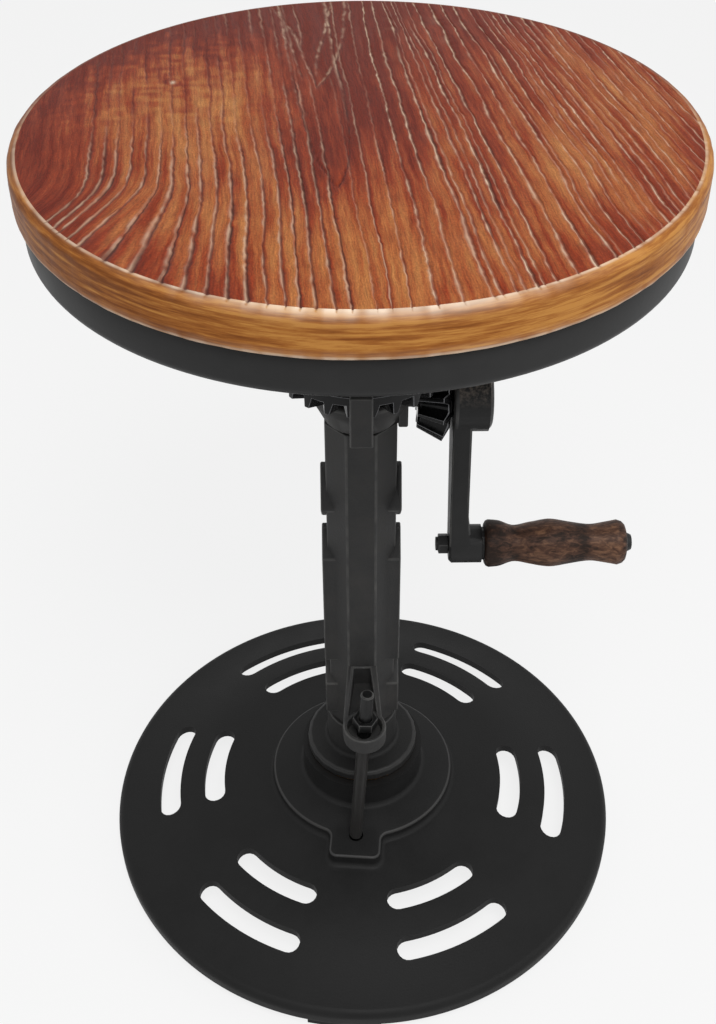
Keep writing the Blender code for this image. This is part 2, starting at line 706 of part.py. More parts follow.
def make_gear_head(body):
    flare = HEAD_FOOT_Z + HEAD_FLARE
    profile = [
        (0, HEAD_TOP_Z),
        (HEAD_RADIUS - EDGE, HEAD_TOP_Z),
        (HEAD_RADIUS, HEAD_TOP_Z - EDGE),
        (HEAD_RADIUS, flare),
        (HEAD_FOOT_RADIUS, HEAD_FOOT_Z),
        (0, HEAD_FOOT_Z),
    ]
    head = turned("gear_head", profile, BLACK_IRON)
    beside = COLUMN_FLATS / 2 + FIT
    boss_top = HEAD_TOP_Z - EDGE
    boss = block(
        "boss_joiner",
        (beside, -BOSS_HALF_WIDTH, HEAD_FOOT_Z - BOSS_DROP),
        (BOSS_REACH, BOSS_HALF_WIDTH, boss_top),
    )
    shelf = block(
        "boss_shelf",
        (0, -BOSS_HALF_WIDTH + EDGE, HEAD_FOOT_Z),
        (BOSS_REACH - EDGE, BOSS_HALF_WIDTH - EDGE, boss_top - EDGE),
    )
    rib = block(
        "rib_joiner",
        (-RIB_HALF_WIDTH, -RIB_REACH - EDGE, HEAD_FOOT_Z),
        (RIB_HALF_WIDTH, 0, boss_top),
    )
    rib_toe = block(
        "rib_toe",
        (-RIB_HALF_WIDTH + EDGE, -RIB_REACH, HEAD_FOOT_Z - RIB_DROP),
        (RIB_HALF_WIDTH - EDGE, -beside, boss_top - EDGE),
    )
    join(head, boss, shelf, rib, rib_toe)
    low, high = (0, 0, HEAD_FOOT_Z - EDGE), (0, 0, HEAD_TOP_Z + EDGE)
    cut(head, rod("head_bore", low, high, SCREW_BORE + RUNNING_FIT))
    shaft_way = rod("head_bush_bore", CRANK_AXIS, (BOSS_REACH + EDGE, 0, CRANK_Z), BUSH_RADIUS + FIT)
    cut(head, shaft_way, head_screw_cutter("head_screw_holes", HEAD_SCREW_RADIUS + FIT))
    sunk = HEAD_TOP_Z - HEAD_SCREW_HEAD_HEIGHT - 2 * FIT
    one = rod(
        "head_sink",
        (HEAD_SCREW_CIRCLE, 0, sunk),
        (HEAD_SCREW_CIRCLE, 0, HEAD_TOP_Z + EDGE),
        HEAD_SCREW_HEAD_RADIUS + FIT,
        sides=12,
    )
    cut(head, copies("head_screw_sinks", one, round_turns(4, math.pi / 4)))
    low, high = key_box(FIT)
    cut(head, block("key_pocket", low, high))
    cut(head, keeper_rod("keeper_way", KEEPER_RADIUS + FIT, None, EDGE))
    carry(body, head)


def key_box(slack):
    """The guide key's corners, grown by a clearance where it sits in the gear head."""
    low_z = COLUMN_TOP_Z + KEY_ABOVE_COLUMN
    tip = KEYWAY_FLOOR + RUNNING_FIT
    low = (-KEY_HALF_WIDTH - slack, tip, low_z - slack)
    high = (KEY_HALF_WIDTH + slack, tip + KEY_DEPTH + slack, low_z + KEY_HEIGHT + slack)
    return low, high


def keeper_rod(name, radius, material, spare=0.0):
    """The keeper screw, up through the boss into the shaft's groove."""
    low = (KEEPER_PLACE, 0, HEAD_FOOT_Z - BOSS_DROP - spare)
    high = (KEEPER_PLACE, 0, CRANK_Z - SHAFT_RADIUS + KEEPER_GROOVE - FIT - spare)
    return rod(name, low, high, radius, material, sides=12)


def make_head_fittings(body):
    top = Vector((0, 0, HEAD_TOP_Z - FIT))
    thick = Vector((0, 0, HEAD_SCREW_HEAD_HEIGHT))
    point = Vector((0, 0, HEAD_TOP_Z - HEAD_SCREW_LENGTH))
    for number, turn in enumerate(round_turns(4, math.pi / 4), 1):
        spot = turn @ Vector((HEAD_SCREW_CIRCLE, 0, 0))
        neck, crown = spot + top - thick, spot + top
        name = f"head_screw_{number}"
        screw = rod(name, spot + point, neck + thick / 2, HEAD_SCREW_RADIUS, BLACK_STEEL, 12)
        join(screw, rod(name + "_head", neck, crown, HEAD_SCREW_HEAD_RADIUS, None, 12))
        carry(body, screw)
    key = block("guide_key", *key_box(0), BRIGHT_STEEL)
    bore = SHAFT_RADIUS + FIT
    along = Matrix.Translation(CRANK_AXIS) @ ALONG_X
    bush = ring("shaft_bush", bore, BUSH_RADIUS, SHAFT_START, BOSS_REACH, BRONZE, FACETS_SMALL, along)
    cut(bush, keeper_rod("bush_keeper_way", KEEPER_RADIUS + FIT, None, -EDGE))
    keeper = keeper_rod("keeper_screw", KEEPER_RADIUS, BLACK_STEEL)
    low = HEAD_TOP_Z + FIT
    inner = SCREW_BORE + RUNNING_FIT
    washer = ring("gear_washer", inner, GEAR_HUB_RADIUS, low, low + GEAR_WASHER_THICKNESS, BRONZE)
    carry(body, key, bush, keeper, washer)


def bevel_point(distance, offset, angle):
    """Along and out from a cone's axis, at a distance from its apex and an offset off its pitch line."""
    along = distance * math.cos(angle) - offset * math.sin(angle)
    out = distance * math.sin(angle) + offset * math.cos(angle)
    return out, along


def tooth_rows(high, angle):
    """Inner and outer corners of a bevel tooth's top (1) or of the gap beside it (0)."""
    offset = ADDENDUM if high else -DEDENDUM
    inner = offset * INNER_DISTANCE / CONE_DISTANCE
    return bevel_point(INNER_DISTANCE, inner, angle), bevel_point(CONE_DISTANCE, offset, angle)


def make_crown_gear(body):
    """Crown gear with its teeth facing down, its hub on the washer and the lift nut pressed into it."""
    angle = math.pi / 2 - PINION_ANGLE
    bore = NUT_RADIUS + FIT
    root_inner, root_outer = tooth_rows(0, angle)
    tip_outer = tooth_rows(1, angle)[1]
    sections = []
    for turn, high in tooth_steps(GEAR_TEETH, math.pi / GEAR_TEETH):
        inner, outer = tooth_rows(high, angle)
        section = [
            (bore, GEAR_FOOT_Z),
            (GEAR_HUB_RADIUS, GEAR_FOOT_Z),
            (GEAR_HUB_RADIUS, CRANK_Z + root_inner[1]),
            (root_inner[0] - EDGE, CRANK_Z + root_inner[1]),
            (inner[0], CRANK_Z + inner[1]),
            (outer[0], CRANK_Z + outer[1]),
            (tip_outer[0], CRANK_Z + root_outer[1] + EDGE),
            (tip_outer[0], GEAR_TOP_Z),
            (bore, GEAR_TOP_Z),
        ]
        sections.append((turn, section))
    place = lambda a, r, h: (r * math.cos(a), r * math.sin(a), h)
    gear = lofted_ring("crown_gear", sections, place, GREASED_STEEL)
    nut = ring("lift_nut", SCREW_BORE, NUT_RADIUS, GEAR_FOOT_Z, NUT_TOP_Z, BRONZE)
    carry(body, gear, nut)


def make_pinion(body):
    bore = SHAFT_RADIUS + FIT
    end = CRANK_HUB_START - FIT
    root_inner, root_outer = tooth_rows(0, PINION_ANGLE)
    sections = []
    for turn, high in tooth_steps(PINION_TEETH, 0.0):
        inner, outer = tooth_rows(high, PINION_ANGLE)
        section = [
            (bore, root_inner[1] - EDGE),
            (root_inner[0] - EDGE, root_inner[1] - EDGE),
            inner,
            outer,
            (root_outer[0] - EDGE, root_outer[1] + EDGE),
            (PINION_HUB_RADIUS, root_outer[1] + EDGE),
            (PINION_HUB_RADIUS, end),
            (bore, end),
        ]
        sections.append((turn, section))
    place = lambda a, r, h: (h, r * math.sin(a), CRANK_Z + r * math.cos(a))
    pinion = lofted_ring("bevel_pinion", sections, place, GREASED_STEEL)
    carry(body, pinion)


def make_crank(body):
    groove = SHAFT_RADIUS - KEEPER_GROOVE
    near = KEEPER_PLACE - KEEPER_RADIUS - FIT
    far = KEEPER_PLACE + KEEPER_RADIUS + FIT
    profile = [
        (0, CRANK_HUB_END),
        (SHAFT_RADIUS - EDGE / 2, CRANK_HUB_END),
        (SHAFT_RADIUS, CRANK_HUB_END - EDGE / 2),
        (SHAFT_RADIUS, far),
        (groove, far),
        (groove, near),
        (SHAFT_RADIUS, near),
        (SHAFT_RADIUS, SHAFT_START),
        (0, SHAFT_START),
    ]
    along = Matrix.Translation(CRANK_AXIS) @ ALONG_X
    shaft = turned("crank_shaft", profile, BRIGHT_STEEL, FACETS_SMALL, along)
    arm = make_arm()
    down = Vector((0, 0, -CRANK_RADIUS))
    place = lambda x: CRANK_TURN @ (down + Vector((x, 0, 0)))
    nut_start = CRANK_HUB_START - FIT - GRIP_NUT_HEIGHT
    nut = hex_rod("grip_nut", place(nut_start), place(CRANK_HUB_START - FIT), GRIP_NUT_FLATS, BLACK_STEEL)
    cut(nut, rod("grip_nut_bore", place(0), place(CRANK_HUB_END), GRIP_AXLE_RADIUS + FIT))
    cap_start = GRIP_END + RUNNING_FIT
    axle = rod("grip_axle", place(nut_start - EDGE), place(cap_start + EDGE), GRIP_AXLE_RADIUS, BLACK_STEEL)
    cap_end = cap_start + GRIP_CAP_HEIGHT
    tip = GRIP_CAP_RADIUS - EDGE
    cap = rod("grip_cap_joiner", place(cap_start), place(cap_end), GRIP_CAP_RADIUS, end_radius=tip)
    join(axle, cap)
    seat = Matrix.Translation(place(0)) @ ALONG_X
    low = GRIP_HUB_END + FIT
    washer = ring(
        "grip_washer",
        GRIP_AXLE_RADIUS + FIT,
        GRIP_WASHER_RADIUS,
        low,
        low + GRIP_WASHER_THICKNESS,
        BRIGHT_STEEL,
        FACETS_SMALL,
        seat,
    )
    screw_x = CRANK_HUB_END - CRANK_HUB_LENGTH / 4
    inner = Vector((screw_x, -SHAFT_RADIUS - FIT, 0))
    outer = Vector((screw_x, -CRANK_HUB_RADIUS + EDGE, 0))
    inner, outer = CRANK_TURN @ inner, CRANK_TURN @ outer
    screw = rod("crank_set_screw", inner, outer, CRANK_SCREW_RADIUS, BLACK_STEEL, 12)
    carry(body, shaft, arm, nut, axle, washer, screw)


def make_arm():
    """Forged arm with a large hub on the shaft and a small one that holds the grip's axle."""
    top, end = ARM_TOP_WIDTH / 2, ARM_END_WIDTH / 2
    outline = [(0, -top), (-CRANK_RADIUS, -end), (-CRANK_RADIUS, end), (0, top)]
    stand = CRANK_TURN @ Matrix(((0, 0, 1, 0), (0, 1, 0, 0), (1, 0, 0, 0), (0, 0, 0, 1)))
    arm = slab("crank_arm", outline, CRANK_HUB_START, CRANK_HUB_START + ARM_THICKNESS, BLACK_STEEL, stand)
    soften(arm, ARM_ROUND)
    hub = [
        (0, CRANK_HUB_END),
        (CRANK_HUB_RADIUS - 2 * EDGE, CRANK_HUB_END),
        (CRANK_HUB_RADIUS, CRANK_HUB_END - 2 * EDGE),
        (CRANK_HUB_RADIUS, CRANK_HUB_START + EDGE),
        (CRANK_HUB_RADIUS - EDGE, CRANK_HUB_START),
        (0, CRANK_HUB_START),
    ]
    join(arm, turned("crank_hub_joiner", hub, turn=Matrix.Translation(CRANK_AXIS) @ ALONG_X))
    grip_hub = [
        (0, GRIP_HUB_END),
        (GRIP_HUB_RADIUS, GRIP_HUB_END),
        (GRIP_HUB_RADIUS, CRANK_HUB_START + EDGE),
        (GRIP_HUB_RADIUS - EDGE, CRANK_HUB_START),
        (0, CRANK_HUB_START),
    ]
    low = CRANK_TURN @ Vector((0, 0, -CRANK_RADIUS))
    join(arm, turned("grip_hub_joiner", grip_hub, turn=Matrix.Translation(low) @ ALONG_X))
    over = Vector((CRANK_HUB_END + EDGE, 0, 0))
    cut(arm, rod("arm_shaft_bore", CRANK_AXIS, CRANK_AXIS + over, SHAFT_RADIUS + FIT))
    cut(arm, rod("arm_axle_bore", low, low + over, GRIP_AXLE_RADIUS + FIT))
    screw_x = CRANK_HUB_END - CRANK_HUB_LENGTH / 4
    middle = CRANK_TURN @ Vector((screw_x, 0, 0))
    outside = CRANK_TURN @ Vector((screw_x, -CRANK_HUB_RADIUS - EDGE, 0))
    cut(arm, rod("arm_screw_bore", middle, outside, CRANK_SCREW_RADIUS + FIT, sides=12))
    return arm


def make_grip(body):
    """Turned handle: a swollen end by the arm, a waist, a belly, a second waist and a round tip."""
    knots = (
        (0.00, GRIP_END_RADIUS - 2 * EDGE),
        (0.03, GRIP_END_RADIUS),
        (0.10, GRIP_END_RADIUS - EDGE / 3),
        (0.20, GRIP_WAIST_RADIUS),
        (0.33, (GRIP_WAIST_RADIUS + GRIP_BELLY_RADIUS) / 2),
        (0.46, GRIP_BELLY_RADIUS),
        (0.60, (GRIP_WAIST_RADIUS + GRIP_BELLY_RADIUS) / 2),
        (0.76, GRIP_WAIST_RADIUS),
        (0.86, (GRIP_WAIST_RADIUS + GRIP_TIP_RADIUS) / 2),
        (0.94, GRIP_TIP_RADIUS),
        (0.98, GRIP_TIP_RADIUS - EDGE),
        (1.00, GRIP_TIP_RADIUS - 3 * EDGE),
    )
    outer = [(radius, GRIP_START + share * GRIP_LENGTH) for share, radius in reversed(knots)]
    bore = GRIP_AXLE_RADIUS + RUNNING_FIT
    profile = [(bore, GRIP_END), *outer, (bore, GRIP_START)]
    low = CRANK_TURN @ Vector((0, 0, -CRANK_RADIUS))
    grip = turned("grip", profile, GRIP_TIMBER, FACETS_MEDIUM, Matrix.Translation(low) @ ALONG_X)
    carry(body, grip)


def make_lift_screw():
    """Right-hand thread drawn as a wave on a rod, with a keyway down its back."""
    edge = math.asin(KEYWAY_HALF_WIDTH / SCREW_RADIUS)
    back = math.pi / 2
    sides = 9
    sweep = 2 * math.pi - 2 * edge
    angles = [(back + edge + sweep * i / sides, True) for i in range(sides + 1)]
    floor_bend = math.atan2(KEYWAY_HALF_WIDTH, KEYWAY_FLOOR)
    floor_radius = KEYWAY_FLOOR / math.cos(floor_bend)
    angles += [(back - floor_bend, False), (back + floor_bend, False)]
    thread_top = SEAT_BOSS_Z - THREAD_PITCH
    rows = int((thread_top - SCREW_FOOT_Z) / THREAD_PITCH * THREAD_ROWS)
    step = THREAD_PITCH / THREAD_ROWS
    form = bmesh.new()
    loops = []
    for row in range(rows + 2):
        plain = row > rows
        z = SCREW_TOP_Z if plain else SCREW_FOOT_Z + row * step
        loop = []
        for angle, threaded in angles:
            phase = (z / THREAD_PITCH - angle / (2 * math.pi)) % 1
            wave = abs(2 * phase - 1)
            deep = min(1.0, 1.6 * wave) * THREAD_DEPTH
            radius = SCREW_RADIUS - (0 if plain or row == rows else deep)
            radius = radius if threaded else floor_radius
            loop.append(form.verts.new((radius * math.cos(angle), radius * math.sin(angle), z)))
        loops.append(loop)
    for loop, after in zip(loops, loops[1:]):
        for i in range(len(loop)):
            k = (i + 1) % len(loop)
            form.faces.new((loop[i], loop[k], after[k], after[i]))
    form.faces.new(list(reversed(loops[0])))
    form.faces.new(loops[-1])
    bmesh.ops.recalc_face_normals(form, faces=form.faces)
    screw = add_mesh("lift_screw", mesh_from("lift_screw", form), BRIGHT_STEEL)
    cut(screw, cross_pin("screw_pin_way", CROSS_PIN_RADIUS + FIT, None))
    return screw


def cross_pin(name, radius, material, spare=0.0):
    reach = SEAT_BOSS_RADIUS + spare
    return rod(name, (-reach, 0, CROSS_PIN_Z), (reach, 0, CROSS_PIN_Z), radius, material, 12)


def seat_screw_cutter(name, radius):
    low = SEAT_FLANGE_Z - EDGE
    high = PAN_Z + PAN_SHEET + FIT + SEAT_SCREW_BITE + EDGE
    one = rod(name + "_one", (SEAT_SCREW_CIRCLE, 0, low), (SEAT_SCREW_CIRCLE, 0, high), radius, sides=12)
    return copies(name, one, round_turns(SEAT_SCREW_COUNT, math.pi / 4))


def make_seat(body):
    corner = arc(PAN_BOTTOM_RADIUS, PAN_Z + PAN_CORNER, PAN_CORNER, 0, -90, 3)
    inner_edge = PAN_CORNER - PAN_SHEET
    inside = arc(PAN_BOTTOM_RADIUS, PAN_Z + PAN_CORNER, inner_edge, -90, 0, 2)
    floor_z = PAN_Z + PAN_SHEET
    sheet = [
        (PAN_RADIUS - PAN_SHEET, PAN_TOP_Z),
        (PAN_RADIUS, PAN_TOP_Z),
        *corner,
        (0, PAN_Z),
    ]
    pan = turned("seat_pan", [(0, floor_z), *inside, *sheet], BLACK_STEEL, FACETS_LARGE)
    plug = inner_edge - FIT
    wood_low = floor_z + FIT
    top_z, top_r = WOOD_TOP_Z, WOOD_RADIUS
    disc = [
        (0, top_z),
        *arc(top_r - WOOD_TOP_ROUND, top_z - WOOD_TOP_ROUND, WOOD_TOP_ROUND, 90, 0, 3),
        *arc(top_r - WOOD_LOWER_ROUND, WOOD_Z + WOOD_LOWER_ROUND, WOOD_LOWER_ROUND, 0, -90, 2),
        (PAN_BOTTOM_RADIUS + plug, WOOD_Z),
        *arc(PAN_BOTTOM_RADIUS, PAN_Z + PAN_CORNER, plug, 0, -90, 2),
        (0, wood_low),
    ]
    wood = turned("seat_wood", disc, SEAT_TIMBER, FACETS_LARGE)
    flange_top = SEAT_FLANGE_Z + SEAT_FLANGE_THICKNESS
    flange_profile = [
        (0, flange_top),
        (SEAT_FLANGE_RADIUS, flange_top),
        (SEAT_FLANGE_RADIUS, SEAT_FLANGE_Z + EDGE),
        (SEAT_FLANGE_RADIUS - EDGE, SEAT_FLANGE_Z),
        (SEAT_BOSS_RADIUS + 2 * EDGE, SEAT_FLANGE_Z),
        (SEAT_BOSS_RADIUS, SEAT_FLANGE_Z - 2 * EDGE),
        (SEAT_BOSS_RADIUS, SEAT_BOSS_Z),
        (SCREW_RADIUS + FIT, SEAT_BOSS_Z),
        (SCREW_RADIUS + FIT, SEAT_FLANGE_Z),
        (0, SEAT_FLANGE_Z),
    ]
    flange = turned("seat_flange", flange_profile, BLACK_IRON)
    cut(flange, cross_pin("flange_pin_way", CROSS_PIN_RADIUS + FIT, None, EDGE))
    for piece in (flange, pan, wood):
        cut(piece, seat_screw_cutter(piece.name + "_screw_holes", SEAT_SCREW_RADIUS + FIT))
    pin = cross_pin("flange_pin", CROSS_PIN_RADIUS, BRIGHT_STEEL)
    carry(body, make_lift_screw(), flange, pin, pan, wood)
    for number, turn in enumerate(round_turns(SEAT_SCREW_COUNT, math.pi / 4), 1):
        spot = turn @ Vector((SEAT_SCREW_CIRCLE, 0, 0))
        head_top = SEAT_FLANGE_Z - FIT
        end = Vector((spot.x, spot.y, floor_z + SEAT_SCREW_BITE))
        under = Vector((spot.x, spot.y, head_top))
        thick = Vector((0, 0, SEAT_SCREW_HEAD_HEIGHT))
        screw = rod(f"seat_screw_{number}", under - thick / 2, end, SEAT_SCREW_RADIUS, BLACK_STEEL, 12)
        head = rod(f"seat_screw_head_{number}", under, under - thick, SEAT_SCREW_HEAD_RADIUS, None, 12)
        join(screw, head)
        carry(body, screw)


def make_lock_pin(body):
    tip = TAB_HOLE + PIN_LINE * PIN_TIP_GAP
    top = PIN_CUP + PIN_LINE * PIN_ABOVE_CUP
    pin = rod("lock_pin", tip, top, PIN_RADIUS, BLACK_STEEL)
    soften(pin, PIN_RADIUS / 6, 1)
    low = PIN_CUP + PIN_LINE * PIN_NUT_LIFT
    high = low + PIN_LINE * PIN_NUT_HEIGHT
    nut = hex_rod("pin_nut", low, high, PIN_NUT_FLATS, BLACK_STEEL)
    cut(nut, rod("pin_nut_bore", tip, top, PIN_RADIUS + FIT))
    carry(body, pin, nut)


base_body = axis_empty("base_body", (0, 0, 0))
column_body = axis_empty("column_axis", (0, 0, COLUMN_FOOT_Z), base_body)
gear_body = axis_empty("gear_axis", (0, 0, GEAR_FOOT_Z), column_body)
crank_body = axis_empty("crank_axis", CRANK_AXIS, column_body)
grip_body = axis_empty("grip_axis", CRANK_TURN @ Vector((0, 0, -CRANK_RADIUS)), crank_body)
seat_body = axis_empty("seat_axis", (0, 0, PAN_Z), column_body)
pin_body = axis_empty("lock_pin_axis", PIN_CUP, column_body)

make_base(base_body)
make_feet(base_body)
make_pivot(base_body)
make_column(column_body)
make_gear_head(column_body)
make_head_fittings(column_body)
make_crown_gear(gear_body)
make_pinion(crank_body)
make_crank(crank_body)
make_grip(grip_body)
make_seat(seat_body)
make_lock_pin(pin_body)
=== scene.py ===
"""Looks of the crank-lift stool, laid out as an add-on and built round its packed solids.

Metres, +Z up. The front is -Y and the crank is on the +X side.
"""

import json
import math

import bmesh
import bpy
import numpy as np
from bpy.props import FloatProperty, FloatVectorProperty, IntProperty, PointerProperty
from mathutils import Matrix, Vector

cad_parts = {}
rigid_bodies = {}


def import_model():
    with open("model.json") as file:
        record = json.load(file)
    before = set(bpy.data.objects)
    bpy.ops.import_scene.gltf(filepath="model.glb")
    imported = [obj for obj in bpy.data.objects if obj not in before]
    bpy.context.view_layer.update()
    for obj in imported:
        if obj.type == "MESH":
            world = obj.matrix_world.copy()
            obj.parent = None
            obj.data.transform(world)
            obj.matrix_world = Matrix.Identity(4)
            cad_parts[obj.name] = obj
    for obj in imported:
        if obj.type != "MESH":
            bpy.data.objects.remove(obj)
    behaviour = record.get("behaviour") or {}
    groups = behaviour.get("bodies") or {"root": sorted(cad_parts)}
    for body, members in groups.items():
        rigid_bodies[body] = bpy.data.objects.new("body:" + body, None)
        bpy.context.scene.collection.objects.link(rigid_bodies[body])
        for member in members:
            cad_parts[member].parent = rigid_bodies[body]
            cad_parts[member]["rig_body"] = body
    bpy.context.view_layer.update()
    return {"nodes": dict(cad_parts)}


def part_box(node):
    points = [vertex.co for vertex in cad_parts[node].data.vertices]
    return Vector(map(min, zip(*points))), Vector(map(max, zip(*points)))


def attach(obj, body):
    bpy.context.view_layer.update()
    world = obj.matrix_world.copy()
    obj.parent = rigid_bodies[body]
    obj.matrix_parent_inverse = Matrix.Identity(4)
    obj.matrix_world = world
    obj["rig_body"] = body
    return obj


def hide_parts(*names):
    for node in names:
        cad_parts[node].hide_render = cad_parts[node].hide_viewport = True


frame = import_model()

bl_info = {
    "name": "Crank-lift stool looks",
    "version": (1, 0, 0),
    "blender": (4, 5, 0),
    "location": "View3D > Sidebar > Stool",
    "description": "Dresses a crank-lift stool in cast iron, gear steel and wire-brushed timber",
    "category": "Object",
}

MM = 0.001
SMOOTH_ANGLE = math.radians(34)
CREASE_ANGLE = math.radians(50)
WOOD_LOW, WOOD_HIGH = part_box("seat_wood")
PAN_LOW, PAN_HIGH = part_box("seat_pan")
BASE_LOW, BASE_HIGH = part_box("base_plate")
GRIP_LOW, GRIP_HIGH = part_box("grip")
SCREW_LOW, SCREW_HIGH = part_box("lift_screw")
ARM_LOW, ARM_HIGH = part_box("crank_arm")
GEAR_LOW, GEAR_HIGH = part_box("crown_gear")
PIN_LOW, PIN_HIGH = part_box("lock_pin")
HEAD_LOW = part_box("gear_head")[0]
SET_SCREW_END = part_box("crank_set_screw")[1].x
FOOT_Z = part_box("column")[0].z
NUT_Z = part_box("pin_nut")[0].z
PIN_RADIUS = 4 * MM


def linear(code):
    """Turns an sRGB hex colour to linear red, green and blue."""
    shares = [int(code[i:i + 2], 16) / 255 for i in (1, 3, 5)]
    return tuple(v / 12.92 if v <= 0.04045 else ((v + 0.055) / 1.055) ** 2.4 for v in shares)


def amount(name, description, default, **kind):
    return FloatProperty(name=name, description=description, default=default, **kind)


def length(name, description, size):
    """A length, its default given in millimetres."""
    return amount(name, description, size * MM, unit="LENGTH", precision=4)


def angle(name, description, degrees):
    return amount(name, description, math.radians(degrees), subtype="ANGLE")


def colour(name, description, code):
    return FloatVectorProperty(
        name=name, description=description, default=linear(code), subtype="COLOR", min=0, max=1
    )


class StoolSeatSettings(bpy.types.PropertyGroup):
    """Sizes and stains of the timber seat and its pan."""

    edge_round: length("Top edge round", "Radius worn on the seat's top edge", 4.6)
    lower_round: length("Lower edge round", "Radius on the seat's lower edge", 3)
    groove_depth: length("Groove depth", "Depth that the wire brush cut into the soft grain", 0.9)
    groove_width: length("Groove width", "Half the width of a brushed groove", 0.54)
    deep: colour("Deep stain", "Stain where the timber took most", "#641d0a")
    red: colour("Red stain", "Stain in the hard grain", "#843214")
    orange: colour("Orange stain", "Stain between red and gold", "#9d562c")
    gold: colour("Gold stain", "Stain where the timber shows through", "#b3763f")
    # Groove colours: stain and wax, each laid to one side of a groove, so that they are also painted shade
    # and painted highlight on its walls
    dark: colour("Dark pore", "Stain caught at a groove's foot", "#2a0f0a")
    pale: colour("Pale pore", "Wax caught on a groove's wall", "#dcc1a5")
    # Pale rim colour: bare timber, brightest at the front where it is painted highlight
    worn: colour("Worn rim", "Timber rubbed bare on the rim", "#f8e4cd")
    edge_gold: colour("Edge gold", "Thin stain round the edge", "#bd8340")
    edge_brown: colour("Edge brown", "Stain round the edge", "#9c5f28")
    edge_dark: colour("Edge streak", "Dark streaks round the edge", "#754017")
    pan_drop: length("Pan drop", "How far the pan's pressed floor sags below its sheet", 2.6)
    pan_wall: length("Pan sheet", "Thickness of the pan's sheet", 2)
    pan_corner: length("Pan corner", "Radius between the pan's wall and floor", 5.8)
    pan_gap: length("Pan gap", "Clearance between the seat and its pan", 0.3)


class StoolBaseSettings(bpy.types.PropertyGroup):
    """Sizes of the pierced base casting."""

    turn: angle("Turn", "How far the base is turned", -4.5)
    rim_wall: length("Rim wall", "Height of the rim below its round", 6)
    rim_round: length("Rim round", "Radius of the rim's upper edge", 5.5)
    rim_foot: length("Rim foot", "Width of the rim's flat underside", 12)
    edge: length("Lower edge", "Round on the rim's lower edge", 1.5)
    slope: amount("Slope", "Rise of the top for each unit inwards", 0.21)
    shell: length("Wall", "Thickness of the casting", 5.8)
    bulge: length("Bulge", "How far the plate swells between its rim and its pad", 3.4)
    pad_radius: length("Pad radius", "Radius of the raised pad", 60.2)
    pad_rise: length("Pad rise", "How far the pad stands up", 6)
    pad_fillet: length("Pad fillet", "Fillet at the foot of the pad and its tab", 3)
    hub_radius: length("Hub radius", "Radius of the hub", 39.5)
    hub_fillet: length("Hub fillet", "Fillet at the hub's foot", 4)
    hub_floor: length("Hub floor", "Height of the hub's underside", 22)
    well_radius: length("Well radius", "Radius of the hollow below the hub", 26)
    bore: length("Bore", "Radius of the hole for the pivot bolt", 8.3)
    slot_width: length("Slot width", "Width of the pierced slots", 13.7)
    outer_slots: length("Outer slots", "Radius of the outer ring of slots", 131.8)
    inner_slots: length("Inner slots", "Radius of the inner ring of slots", 101.2)
    outer_sweep: angle("Outer sweep", "Length of an outer slot", 33.5)
    inner_sweep: angle("Inner sweep", "Length of an inner slot", 34.5)
    first_slot: angle("First slot", "Turn of the first slot from the tab", 30)
    slot_count: IntProperty(name="Slots", description="Slots in each ring", default=6, min=1)
    tab_width: length("Tab width", "Width of the tab for the lock pin", 33)
    tab_reach: length("Tab reach", "How far the tab stands out from the axis", 76.2)
    tab_corner: length("Tab corner", "Radius of the tab's corners", 5.2)
    pin_hole: length("Pin hole", "Radius of the hole for the lock pin", 4.6)
    hole_depth: length("Hole depth", "Depth of the hole for the lock pin", 8.5)
    arris: length("Arris", "Round on the edge of the pad and its tab", 1.3)


class StoolMetalSettings(bpy.types.PropertyGroup):
    """Colours and sizes of the other metal pieces."""

    iron: colour("Iron enamel", "Matt enamel on the castings", "#2f2f2f")
    iron_worn: colour("Iron worn", "Enamel rubbed thin", "#3a3938")
    # The base's two tones are the castings' enamel painted darker: painted shade
    shaded_base_coat: colour("Base coat", "Matt coat on the base casting", "#161616")
    shaded_base_worn: colour("Base worn", "Coat rubbed thin", "#1c1c1c")
    steel: colour("Steel enamel", "Baked enamel on the pan", "#292929")
    forged: colour("Forged enamel", "Enamel on the crank and small fittings", "#222222")
    steel_worn: colour("Steel worn", "Browned steel where the enamel has gone", "#686059")
    # Arris colours: enamel rubbed thin, lighter still as a painted highlight on the edges
    rubbed: colour("Rubbed arris", "Enamel rubbed thin on the arrises", "#4c4b49")
    rubbed_and_highlit_coat: colour("Rubbed coat", "Powder coat rubbed thin on the pad's edge", "#2f2e2d")
    tooth: colour("Tooth edge", "Steel on the edges of the teeth", "#626264")
    grease: colour("Gear grease", "Black grease on the gears", "#0b0b0c")
    thin_grease: colour("Thin grease", "Grease smeared thin on the gears", "#151516")
    bright: colour("Bright steel", "Turned steel", "#a7a49e")
    bronze: colour("Bronze", "Bearing bronze", "#a8793d")
    rubber: colour("Rubber", "Foot pads", "#1a1a1a")
    cast_arris: length("Cast arris", "Round on the column's and head's edges", 0.9)
    forged_arris: length("Forged arris", "Round on the crank's edges", 1.2)
    machined_arris: length("Machined arris", "Round on the gears' and nuts' edges", 0.35)
    arm_depth: length("Arm depth", "Thickness of the crank's arm between its hubs", 10.4)
    strap_width: length("Strap width", "Width of the head's strap in front of the gear", 11.9)
    strap_depth: length("Strap depth", "Thickness of that strap", 4.5)
    strap_gap: length("Strap gap", "Clearance between that strap and the gear's teeth", 1.6)
    thread_depth: length("Thread depth", "Depth of the lift screw's thread", 2.2)
    thread_pitch: length("Thread pitch", "Rise of the lift screw's thread in a turn", 8)
    plain_end: length("Plain end", "Length of the lift screw's plain top", 30)
    keyway: length("Keyway", "Half the width of the lift screw's keyway", 2.6)
    keyway_floor: length("Keyway floor", "Distance of the keyway's floor from the axis", 8.2)


